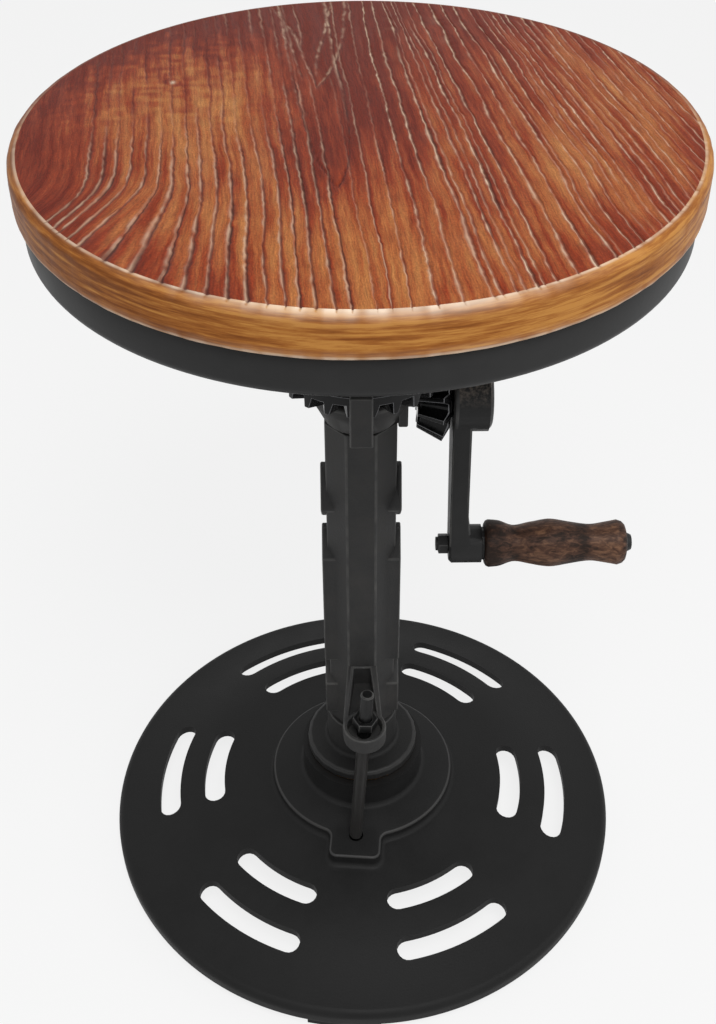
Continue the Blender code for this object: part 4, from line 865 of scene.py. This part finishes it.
def seat_rings(seat):
    """Rings from the border of the seat's top down its edge to its underside, in millimetres.

    Each has its radius, height, share of the grooves that it keeps, and how pale it is painted: by the thin
    line, bare timber with painted highlight and shade, and by the band, painted highlight."""
    radius, top_z, low_z = WOOD_HIGH.x / MM, WOOD_HIGH.z / MM, WOOD_LOW.z / MM
    round_r, low_r, gap = seat.edge_round / MM, seat.lower_round / MM, seat.pan_gap / MM
    flat_r, round_z = radius - round_r, top_z - round_r
    edge_z, plug_r = PAN_HIGH.z / MM + gap, (PAN_HIGH.x - seat.pan_wall) / MM - gap
    # The first lies close to the border, so that the stain ends on a clean line
    rings = [(flat_r + 0.16, top_z - 0.01, 0.7, 0.8, 1)]
    for k, (r, z) in enumerate(arc(flat_r, round_z, round_r, 90, 0, 8)[1:], 1):
        rings.append((r, z, max(0.0, 0.7 - k / 3), hump((k - 0.6) / 0.9), hump(k / 4.2)))
    rings += [(radius, z, 0, 0, 0) for z in (round_z - 3, edge_z + low_r + 3)]
    for k, (r, z) in enumerate(arc(radius - low_r, edge_z + low_r, low_r, 0, -90, 4)):
        rings.append((r, z, 0, hump((k - 1.6) / 1.1), 0))
    plug = ((plug_r, edge_z), (plug_r - 1, low_z + 4), (plug_r - 4, low_z))
    return rings + [(r, z, 0, 0, 0) for r, z in plug]


def seat_wood_mesh(seat):
    """The seat's disc, its top brushed along the grain and its edge rounded, in one closed mesh."""
    radius, top_z, low_z = WOOD_HIGH.x / MM, WOOD_HIGH.z / MM, WOOD_LOW.z / MM
    width, deep = seat.groove_width / MM, seat.groove_depth / MM
    columns, front, back = chord(grain_columns(radius, width), radius - seat.edge_round / MM)
    y = front[:, None] + (back - front)[:, None] * np.linspace(0, 1, SEAT_ROWS)
    u = np.repeat(columns[:, None], SEAT_ROWS, 1)
    layers = pores(u, y, width)
    z = top_z - deep * layers["depth"] - 0.06 * (1 + rough(u / 7, y / 45, 31))
    warmth = stain_warmth(u, y) - 0.20 * layers["stain"]
    # For each point: the seat's marks, in their order, and its place across and along the grain
    points = [np.stack([grain_x(u, y), y, z], 2).reshape(-1, 3)]
    marks = [np.stack([layers["dark"], layers["pale"], warmth, 0 * u, 0 * u, u, y], 2).reshape(-1, 7)]
    grid = np.arange(u.size).reshape(u.shape)
    faces = np.stack([grid[:-1, :-1], grid[1:, :-1], grid[1:, 1:], grid[:-1, 1:]], 2).reshape(-1, 4).tolist()
    # The border runs along the front, up the last column, along the back and down the first column
    loop = np.concatenate([grid[:, 0], grid[-1, 1:], grid[-2::-1, -1], grid[0, -2:0:-1]])
    size, after = len(loop), np.roll(np.arange(len(loop)), -1)
    x, y, z = points[0][loop].T
    span, turn = np.hypot(x, y), np.arctan2(y, x)
    # The rim's thin pale line is bare timber with painted highlight and painted shade; its band at the front
    # is painted highlight
    line, band = rim_wear_and_highlight(turn)
    behind = swell((y - 30) / 14)
    edge_warmth = 0.02 - 0.11 * swell((-x - 55) / 20)
    uncut = 1 - 0.8 * np.clip(layers["depth"].ravel()[loop], 0, 1)
    upper = loop
    for number, (r, h, hold, in_line, in_highlight_band) in enumerate(seat_rings(seat)):
        uneven = 0.18 * rough(turn * 26 + 40, np.full_like(turn, h / 3.1), 37) - 0.1
        scale = (r + uneven if number >= TRUE_RINGS else r) / span
        points.append(np.stack([x * scale, y * scale, h + (z - top_z) * hold], 1))
        # At the back the upper rings take the top's darker red stain: painted shade on the far side of the
        # round
        stain_and_shade = 0.85 * behind if number < STAINED_SHADED_RINGS else 0
        mark = marks[0][loop]
        mark[:, :2] *= hold
        mark[:, 2] = edge_warmth - 0.24 * stain_and_shade
        mark[:, 3] = 1 - stain_and_shade
        mark[:, 4] = np.maximum(in_line * line, in_highlight_band * band) * (uncut if hold > 0 else 1)
        marks.append(mark)
        lower = u.size + number * size + np.arange(size)
        faces += np.stack([upper, lower, lower[after], upper[after]], 1).tolist()
        upper = lower
    points = np.concatenate([*points, [[0, 0, low_z]]])
    marks = np.concatenate([*marks, [[0, 0, 0, 1, 0, 0, 0]]])
    faces += [(a, len(points) - 1, b) for a, b in zip(upper.tolist(), upper[after].tolist())]
    mesh = bpy.data.meshes.new("seat_timber")
    mesh.from_pydata(points * MM, [], faces)
    mesh.shade_smooth()
    for place, name in enumerate(SEAT_MARKS):
        values = marks[:, place].astype(np.float32)
        mesh.attributes.new(name, "FLOAT", "POINT").data.foreach_set("value", values)
    grain = np.stack([marks[:, 5], marks[:, 6], 0 * marks[:, 6]], 1) * MM
    vectors = mesh.attributes.new("grain", "FLOAT_VECTOR", "POINT").data
    vectors.foreach_set("vector", grain.astype(np.float32).ravel())
    return mesh


class StoolSeatWood(bpy.types.Operator):
    """Adds the wire-brushed timber seat"""

    bl_idname = "stool.seat_wood"
    bl_label = "Seat timber"

    def execute(self, context):
        mesh = seat_wood_mesh(context.scene.stool_seat)
        add_piece(context, "seat_timber", mesh, "brushed_timber", "seat_wood")
        return {"FINISHED"}


class StoolSeatPan(bpy.types.Operator):
    """Adds the pressed pan under the seat"""

    bl_idname = "stool.seat_pan"
    bl_label = "Seat pan"

    def execute(self, context):
        seat = context.scene.stool_seat
        wall, corner = seat.pan_wall, seat.pan_corner
        outer, low, high = PAN_HIGH.x, PAN_LOW.z - seat.pan_drop, PAN_HIGH.z
        bend = outer - corner
        profile = [
            (0, low + wall),
            *arc(bend, low + corner, corner - wall, -90, 0, 6),
            *arc(outer - wall / 2, high - wall / 2, wall / 2, 180, 0, 6),
            *arc(bend, low + corner, corner, 0, -90, 10),
            (bend * 0.6, low),
            (0, low),
        ]
        add_piece(context, "seat_dish", turned("seat_dish", profile, 160), "pressed_steel", "seat_pan")
        return {"FINISHED"}


def slot_outline(radius, sweep, width, turn):
    """A slot with round ends that follows a circle about the axis, anticlockwise, turned from the front."""
    half = width / 2
    bend = math.degrees(sweep / 2 - half / radius)
    middle = math.degrees(turn) - 90
    outline = []
    for side, facing in ((1, 0), (-1, 180)):
        end = middle + side * bend
        outline += arc(0, 0, radius + side * half, middle - side * bend, end, 12)
        centre = arc(0, 0, radius, end, end, 1)[0]
        outline += arc(*centre, half, end + facing, end + facing + 180, 9)[1:-1]
    return outline


def keyhole(base):
    """Plan of the raised pad with its tab, anticlockwise from the tab's left side, the tab at the front."""
    half, reach, corner, pad = base.tab_width / 2, base.tab_reach, base.tab_corner, base.pad_radius
    out = half + corner
    along = math.sqrt((pad + corner) ** 2 - out ** 2)
    lean = math.degrees(math.atan2(along, out))
    points = arc(-out, -along, corner, lean, 0, 5)
    points += arc(-half + corner, -reach + corner, corner, 180, 270, 7)
    points += [((half - corner) * (i / 5 - 1), -reach) for i in range(1, 10)]
    points += arc(half - corner, -reach + corner, corner, 270, 360, 7)
    points += arc(out, -along, corner, 180, 180 - lean, 5)
    return points + arc(0, 0, pad, -lean, 180 + lean, 160)[1:-1]


def moved_out(points, distance):
    """An outline that runs anticlockwise, moved outwards."""
    moved = []
    for before, point, after in zip(points[-1:] + points[:-1], points, points[1:] + points[:1]):
        run = Vector((after[0] - before[0], after[1] - before[1])).normalized()
        moved.append((point[0] + distance * run.y, point[1] - distance * run.x))
    return moved


def plate_rise(base, r):
    """Height of the plate's top at a radius, without its pad."""
    rim_r = BASE_HIGH.x - base.rim_round
    share = min(1.0, (rim_r - r) / (rim_r - base.pad_radius))
    cone = BASE_LOW.z + base.rim_wall + base.rim_round + base.slope * (rim_r - r)
    return cone + base.bulge * math.sin(math.pi * share) ** 2


def tab_top(base):
    return plate_rise(base, base.pad_radius) + base.pad_rise


def base_rings(base, outline):
    """Rings of points from the hub's bore over the top and back below, and the row where the arris starts."""
    radius, low, top = BASE_HIGH.x, BASE_LOW.z, BASE_HIGH.z
    rim_r, under = radius - base.rim_round, radius - base.rim_foot
    pad, hub, fillet, step, edge = base.pad_radius, base.hub_radius, base.hub_fillet, base.pad_rise, base.edge
    angles = [math.atan2(x, -y) for x, y in outline]
    quarter = [math.radians(turn) for turn in (0, 30, 60, 90)]
    inset = 3 * MM

    def circle(r, z):
        return [(r * math.sin(a), -r * math.cos(a), z) for a in angles]

    def on_plate(out, lift, limit=radius):
        return [
            (x, y, plate_rise(base, min(math.hypot(x, y), limit)) + lift) for x, y in moved_out(outline, out)
        ]

    hub_foot = plate_rise(base, hub + fillet) + step + fillet
    slope_end = 270 - math.degrees(math.atan(base.slope))
    rings = [circle(base.bore, top), circle(hub, top)]
    rings += [circle(r, z) for r, z in arc(hub + fillet, hub_foot, fillet, 180, slope_end, 6)]
    rings += [circle(r, plate_rise(base, r) + step) for r in (0.5 * (hub + fillet + pad), pad - inset)]
    arris_row, arris, foot = len(rings), base.arris, base.pad_fillet
    rings += [on_plate(arris * (math.sin(a) - 1), step - arris * (1 - math.cos(a)), pad) for a in quarter]
    rings += [on_plate(foot * (1 - math.cos(a)), foot * (1 - math.sin(a))) for a in quarter]
    over = np.linspace(base.tab_reach + 2 * inset, rim_r - inset, 9)
    rings += [circle(r, plate_rise(base, r)) for r in over]
    rings += [circle(r, z) for r, z in arc(rim_r, low + base.rim_wall, base.rim_round, 78, 0, 8)]
    rings += [circle(r, z) for r, z in arc(radius - edge, low + edge, edge, 0, -90, 3)]
    rings.append(circle(under, low))
    below = np.linspace(under - edge, base.well_radius + edge, 12)
    rings += [circle(r, plate_rise(base, r) - base.shell) for r in below]
    rings += [circle(r, low + base.hub_floor) for r in (base.well_radius, base.bore)]
    return rings, arris_row


class StoolBase(bpy.types.Operator):
    """Adds the pierced base casting"""

    bl_idname = "stool.base"
    bl_label = "Base casting"

    def execute(self, context):
        base, top = context.scene.stool_base, BASE_HIGH.z
        outline = keyhole(base)
        rings, arris_row = base_rings(base, outline)
        spin = Matrix.Rotation(base.turn, 3, "Z")
        points = [spin @ Vector(point) for ring in rings for point in ring]
        steps = len(outline)
        plate = mesh_of("base_casting", points, strip_faces(len(rings), steps, True))
        # The pad's arris takes the rubbed finish: a painted highlight on the base's painted shade
        rubbed = np.zeros(len(plate.polygons), dtype=np.int32)
        rubbed[arris_row * steps:(arris_row + 3) * steps] = 1
        plate.polygons.foreach_set("material_index", rubbed)
        floor = tab_top(base) - base.hole_depth
        place = Matrix.Translation((PIN_LOW.x + PIN_RADIUS, (PIN_LOW.y + PIN_HIGH.y) / 2, 0))
        bit = [(0, top), (base.pin_hole, top), (base.pin_hole, floor), (0, floor)]
        changes = [("DIFFERENCE", turned("hole", bit, 24, place))]
        for ring, sweep in ((base.outer_slots, base.outer_sweep), (base.inner_slots, base.inner_sweep)):
            for number in range(base.slot_count):
                turn = base.turn + base.first_slot + 2 * math.pi * number / base.slot_count
                slot = slot_outline(ring, sweep, base.slot_width, turn)
                changes.append(("DIFFERENCE", prism("slot", slot, BASE_LOW.z - 10 * MM, top)))
        mesh = smooth(carve(context, plate, changes), CREASE_ANGLE)
        # The base casting's finish is the castings' enamel painted darker as painted shade
        add_flat_piece(context, "base_casting", mesh, "shaded_base_iron", "base_plate")
        return {"FINISHED"}


def gear_strap(metal):
    """The strap that leaves the head under the gear and stands up in front of its teeth."""
    near = GEAR_LOW.y - metal.strap_gap
    far, inside = near - metal.strap_depth, HEAD_LOW.y + 8 * MM
    under, top = GEAR_LOW.z - 1.2 * MM, GEAR_HIGH.z + 4 * MM
    side = [
        (inside, HEAD_LOW.z + 2 * MM), (inside, under), (near, under), (near, top), (far, top),
        (far, under - metal.strap_depth), (HEAD_LOW.y, HEAD_LOW.z + 4 * MM),
    ]
    strap = prism("strap", side, -metal.strap_width / 2, metal.strap_width / 2)
    strap.transform(Matrix(((0, 0, 1, 0), (1, 0, 0, 0), (0, 1, 0, 0), (0, 0, 0, 1))))
    return strap


class StoolColumn(bpy.types.Operator):
    """Adds the column and the gear head with their cast arrises"""

    bl_idname = "stool.column"
    bl_label = "Column castings"

    def execute(self, context):
        metal = context.scene.stool_metal
        eased_node(context, "column_casting", "column", "cast_iron", metal.cast_arris)
        head = carve(context, frame["nodes"]["gear_head"].data.copy(), [("UNION", gear_strap(metal))])
        add_flat_piece(context, "gear_head_casting", eased(head, metal.cast_arris), "cast_iron", "gear_head")
        return {"FINISHED"}


class StoolGears(bpy.types.Operator):
    """Adds the crown gear and the pinion with eased teeth"""

    bl_idname = "stool.gears"
    bl_label = "Bevel gears"

    def execute(self, context):
        arris = context.scene.stool_metal.machined_arris
        eased_node(context, "crown_wheel", "crown_gear", "greased_steel", arris)
        eased_node(context, "pinion_wheel", "bevel_pinion", "greased_steel", arris)
        return {"FINISHED"}


class StoolCrank(bpy.types.Operator):
    """Adds the forged crank arm, its nut and the grip's axle"""

    bl_idname = "stool.crank"
    bl_label = "Crank"

    def execute(self, context):
        metal = context.scene.stool_metal
        shaft = sum(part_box("crank_shaft"), Vector()) / 2
        side, wide, deep = ARM_LOW.x + metal.arm_depth, 60 * MM, 2 * MM
        low, high = (GRIP_LOW.z + GRIP_HIGH.z) / 2 + 12.8 * MM, shaft.z - 5 * MM
        plan = [(side, -wide), (side + deep, -wide), (side + deep, wide), (side, wide)]
        waste = prism("waste", plan, low, high)
        # The filler makes good the hub where the waste crosses it, and closes the hole of the set screw
        hub_r = ARM_HIGH.z - shaft.z - 0.05 * MM
        start, end = side - deep, SET_SCREW_END + 0.8 * MM
        place = Matrix.Translation((0, shaft.y, shaft.z)) @ Matrix.Rotation(math.pi / 2, 4, "Y")
        filler = turned("filler", [(0, end), (hub_r, end), (hub_r, start), (0, start)], 96, place)
        changes = [("DIFFERENCE", waste), ("UNION", filler)]
        arm = eased(carve(context, frame["nodes"]["crank_arm"].data.copy(), changes), metal.forged_arris, 3)
        forging = add_flat_piece(context, "crank_forging", arm, "forged_steel", "crank_arm")
        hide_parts("crank_arm", "crank_set_screw")
        eased_node(context, "axle_nut", "grip_nut", "forged_steel", metal.machined_arris)
        eased_node(context, "axle_rod", "grip_axle", "forged_steel", metal.machined_arris)
        return {"FINISHED"}


def smooth_through(knots, count):
    """Points on a smooth line through (place, value) knots."""
    places, values = np.array(knots).T
    slopes = np.gradient(values, places)
    at = np.linspace(places[0], places[-1], count)
    i = np.clip(np.searchsorted(places, at) - 1, 0, len(knots) - 2)
    gap = places[i + 1] - places[i]
    t = (at - places[i]) / gap
    h00, h10 = (1 + 2 * t) * (1 - t) ** 2, t * (1 - t) ** 2
    h01, h11 = t * t * (3 - 2 * t), t * t * (t - 1)
    line = h00 * values[i] + h10 * gap * slopes[i] + h01 * values[i + 1] + h11 * gap * slopes[i + 1]
    return list(zip(at, line))


class StoolGrip(bpy.types.Operator):
    """Adds the turned grip, a little uneven as hand work leaves it"""

    bl_idname = "stool.grip"
    bl_label = "Grip"

    def execute(self, context):
        grip = context.scene.stool_grip
        near, waist, belly, tip = grip.end_radius, grip.waist_radius, grip.belly_radius, grip.tip_radius
        mean = (waist + belly) / 2
        # Share of the length, and the radius there
        knots = (
            (0.03, near), (0.10, near - 0.5 * MM), (0.20, waist), (0.33, mean), (0.46, belly), (0.60, mean),
            (0.76, waist), (0.86, (waist + tip) / 2), (0.94, tip),
        )
        start, end = GRIP_LOW.x, GRIP_HIGH.x
        line = [(r, start + share * (end - start)) for share, r in reversed(smooth_through(knots, 44))]
        nose = ((4.2, 0), (2.4, 0.6), (0.9, 2.1))
        head = [(grip.bore, end)] + [(tip - inset * MM, end - drop * MM) for inset, drop in nose]
        foot = [(near - 0.7 * MM, start + 0.9 * MM), (near - 2.2 * MM, start), (grip.bore, start)]
        centre = (GRIP_LOW + GRIP_HIGH) / 2
        place = Matrix.Translation((0, centre.y, centre.z)) @ Matrix.Rotation(math.pi / 2, 4, "Y")
        mesh = turned("grip_handle", head + line + foot, 56, place)
        shape = np.empty(len(mesh.vertices) * 3)
        mesh.vertices.foreach_get("co", shape)
        shape = shape.reshape(-1, 3)
        along, off = shape[:, 0], shape[:, 1:] - np.array((centre.y, centre.z))
        reach, turn = np.hypot(off[:, 0], off[:, 1]), np.arctan2(off[:, 1], off[:, 0])
        lump = rough(along * 130 + 7, 3 + 2.2 * np.cos(turn), 41)
        lump = lump * rough(along * 70, 9 + 2.2 * np.sin(turn), 43)
        proud = np.where(reach > grip.bore + 3 * MM, grip.lumps * (lump - 0.5), 0)
        shape[:, 1:] += off * (proud / reach)[:, None]
        mesh.vertices.foreach_set("co", shape.ravel())
        add_piece(context, "grip_handle", mesh, "burnt_timber", "grip")
        return {"FINISHED"}


class StoolLiftScrew(bpy.types.Operator):
    """Adds the lift screw with its round thread and its keyway"""

    bl_idname = "stool.lift_screw"
    bl_label = "Lift screw"

    def execute(self, context):
        metal = context.scene.stool_metal
        radius, pitch = SCREW_HIGH.x, metal.thread_pitch
        low, high = SCREW_LOW.z, SCREW_HIGH.z
        plain = high - metal.plain_end
        steps, rows_a_turn = 40, 10
        count = int((plain - low) / pitch * rows_a_turn)
        heights = [low + pitch * row / rows_a_turn for row in range(count)] + [plain, high]
        points = []
        for z in heights:
            for step in range(steps):
                a = 2 * math.pi * step / steps
                phase = (z / pitch - step / steps) % 1
                groove = min(1.0, 1.6 * abs(2 * phase - 1))
                r = radius if z >= plain else radius - metal.thread_depth * groove
                x, y = r * math.cos(a), r * math.sin(a)
                if y > 0 and abs(x) <= metal.keyway:
                    y = min(y, metal.keyway_floor)
                points.append((x, y, z))
        rows = len(heights)
        faces = [face[::-1] for face in strip_faces(rows, steps, False)]
        faces += [tuple(range(steps - 1, -1, -1)), tuple(range((rows - 1) * steps, rows * steps))]
        add_piece(context, "lift_thread", mesh_of("lift_thread", points, faces), "bright_steel", "lift_screw")
        return {"FINISHED"}


class StoolLockPin(bpy.types.Operator):
    """Adds the lock pin and its nut"""

    bl_idname = "stool.lock_pin"
    bl_label = "Lock pin"

    def execute(self, context):
        arris = context.scene.stool_metal.machined_arris
        mesh = eased(frame["nodes"]["lock_pin"].data.copy(), arris)
        tip = tab_top(context.scene.stool_base) + 0.6 * MM
        line = Vector((PIN_HIGH.x - PIN_LOW.x - 2 * PIN_RADIUS, 0, PIN_HIGH.z - PIN_LOW.z)).normalized()
        for vertex in mesh.vertices:
            if vertex.co.z < PIN_LOW.z + 2 * PIN_RADIUS:
                vertex.co -= line * (PIN_LOW.z - tip) / line.z
        add_flat_piece(context, "drop_pin", mesh, "blacked_steel", "lock_pin")
        eased_node(context, "drop_pin_nut", "pin_nut", "blacked_steel", arris)
        return {"FINISHED"}


FITTINGS = {
    "rubber": ("foot_pad_1", "foot_pad_2", "foot_pad_3", "foot_pad_4"),
    "bronze": ("thrust_washer", "shaft_bush", "gear_washer", "lift_nut"),
    "bright_steel": ("pivot_washer", "guide_key", "crank_shaft", "flange_pin"),
    "cast_iron": ("seat_flange",),
    "forged_steel": (
        "pivot_bolt", "pivot_nut", "head_screw_1", "head_screw_2", "head_screw_3", "head_screw_4",
        "keeper_screw", "grip_washer", "seat_screw_1", "seat_screw_2", "seat_screw_3", "seat_screw_4",
    ),
}


class StoolFittings(bpy.types.Operator):
    """Gives the pads, washers, screws and other small fittings their finishes"""

    bl_idname = "stool.fittings"
    bl_label = "Fittings"

    def execute(self, context):
        for name, nodes in FITTINGS.items():
            material = finish(context, name)[1]
            for node in nodes:
                mesh = frame["nodes"][node].data
                mesh.materials.clear()
                mesh.materials.append(material)
        return {"FINISHED"}


def seen_share(tree):
    """1 where something is looked at, straight, mirrored or through glass, and 0 where it only lights."""
    path = add_node(tree, "LightPath").node.outputs
    seen = path["Is Camera Ray"]
    for ray in ("Is Glossy Ray", "Is Transmission Ray"):
        seen = add_node(tree, "Math", {"operation": "MAXIMUM"}, {0: seen, 1: path[ray]})
    return seen


def studio_floor(stage):
    # Matt white studio floor: shows the backdrop's colour and keeps a faint shadow
    material = bpy.data.materials.new("Matt white studio floor")
    tree = empty_tree(material)
    share = add_node(tree, "Math", {"operation": "MULTIPLY", 1: stage.glow}, {0: seen_share(tree)})
    matt = add_node(tree, "BsdfDiffuse", {"Color": (*stage.backdrop, 1)})
    glow = add_node(tree, "Emission", {"Color": (*stage.floor, 1), "Strength": 1.0})
    mixed = add_node(tree, "MixShader", links={0: share, 1: matt, 2: glow})
    add_node(tree, "OutputMaterial", links={"Surface": mixed})
    return material


def studio_surround(stage):
    """A world that lights softly from all round and is seen in the backdrop's colour."""
    world = bpy.data.worlds.new("studio_surround")
    tree = empty_tree(world)
    soft = add_node(tree, "Background", {"Color": (1, 1, 1, 1), "Strength": stage.surround})
    plain = add_node(tree, "Background", {"Color": (*stage.backdrop, 1), "Strength": 1.0})
    mixed = add_node(tree, "MixShader", links={0: seen_share(tree), 1: soft, 2: plain})
    add_node(tree, "OutputWorld", links={"Surface": mixed})
    return world


def add_softbox(scene, name, place, size, power):
    lamp = bpy.data.lights.new(name, "AREA")
    lamp.shape = "DISK"
    lamp.size = size
    lamp.energy = power
    light = bpy.data.objects.new(name, lamp)
    scene.collection.objects.link(light)
    aim = Vector((0, 0, 0.4))
    light.location = place
    light.rotation_euler = (aim - Vector(place)).to_track_quat("-Z", "Y").to_euler()


class StoolStage(bpy.types.Operator):
    """Adds the floor, the light and the camera"""

    bl_idname = "stool.stage"
    bl_label = "Stage"

    def execute(self, context):
        scene, stage = context.scene, context.scene.stool_stage
        scene.view_settings.view_transform = "Standard"
        floor_mesh = bpy.data.meshes.new("studio_floor")
        form = bmesh.new()
        bmesh.ops.create_circle(form, cap_ends=True, segments=96, radius=9.0)
        form.to_mesh(floor_mesh)
        form.free()
        floor_mesh.materials.append(studio_floor(stage))
        floor = bpy.data.objects.new("studio_floor", floor_mesh)
        scene.collection.objects.link(floor)
        scene.world = studio_surround(stage)
        add_softbox(scene, "key_softbox", (0.15, -0.85, 1.80), 0.7, stage.key)
        add_softbox(scene, "side_softbox", (1.5, -0.3, 0.9), 0.9, stage.rim)
        lens = bpy.data.cameras.new("photo_camera")
        lens.lens = stage.lens
        lens.sensor_width = 36
        lens.sensor_fit = "AUTO"
        lens.shift_x = stage.shift_x
        lens.shift_y = stage.shift_y
        lens.clip_start = 0.01
        camera = bpy.data.objects.new("photo_camera", lens)
        scene.collection.objects.link(camera)
        turn = Matrix.Rotation(stage.tilt, 4, "X") @ Matrix.Rotation(stage.roll, 4, "Z")
        camera.matrix_world = Matrix.Translation(stage.camera_place) @ turn
        scene.camera = camera
        return {"FINISHED"}


class StoolPanel(bpy.types.Panel):
    """Lists the stool's pieces and settings"""

    bl_label = "Crank-lift stool"
    bl_idname = "VIEW3D_PT_crank_stool"
    bl_space_type = "VIEW_3D"
    bl_region_type = "UI"
    bl_category = "Stool"

    def draw(self, context):
        for operator in OPERATORS:
            self.layout.operator(operator.bl_idname)
        for group, kind in SETTINGS.items():
            box = self.layout.box()
            box.label(text=kind.__doc__)
            for name in kind.__annotations__:
                box.prop(getattr(context.scene, group), name)


OPERATORS = (
    StoolStage, StoolBase, StoolColumn, StoolGears, StoolCrank, StoolGrip, StoolLiftScrew, StoolSeatPan,
    StoolSeatWood, StoolLockPin, StoolFittings,
)
CLASSES = (*SETTINGS.values(), *OPERATORS, StoolPanel)


def register():
    for kind in CLASSES:
        bpy.utils.register_class(kind)
    for name, kind in SETTINGS.items():
        setattr(bpy.types.Scene, name, PointerProperty(type=kind))


def unregister():
    for name in SETTINGS:
        delattr(bpy.types.Scene, name)
    for kind in reversed(CLASSES):
        bpy.utils.unregister_class(kind)


def main():
    register()
    bpy.ops.stool.stage()
    bpy.ops.stool.base()
    bpy.ops.stool.column()
    bpy.ops.stool.gears()
    bpy.ops.stool.crank()
    bpy.ops.stool.grip()
    bpy.ops.stool.lift_screw()
    bpy.ops.stool.seat_pan()
    bpy.ops.stool.seat_wood()
    bpy.ops.stool.lock_pin()
    bpy.ops.stool.fittings()
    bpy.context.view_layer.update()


if __name__ == "__main__":
    main()
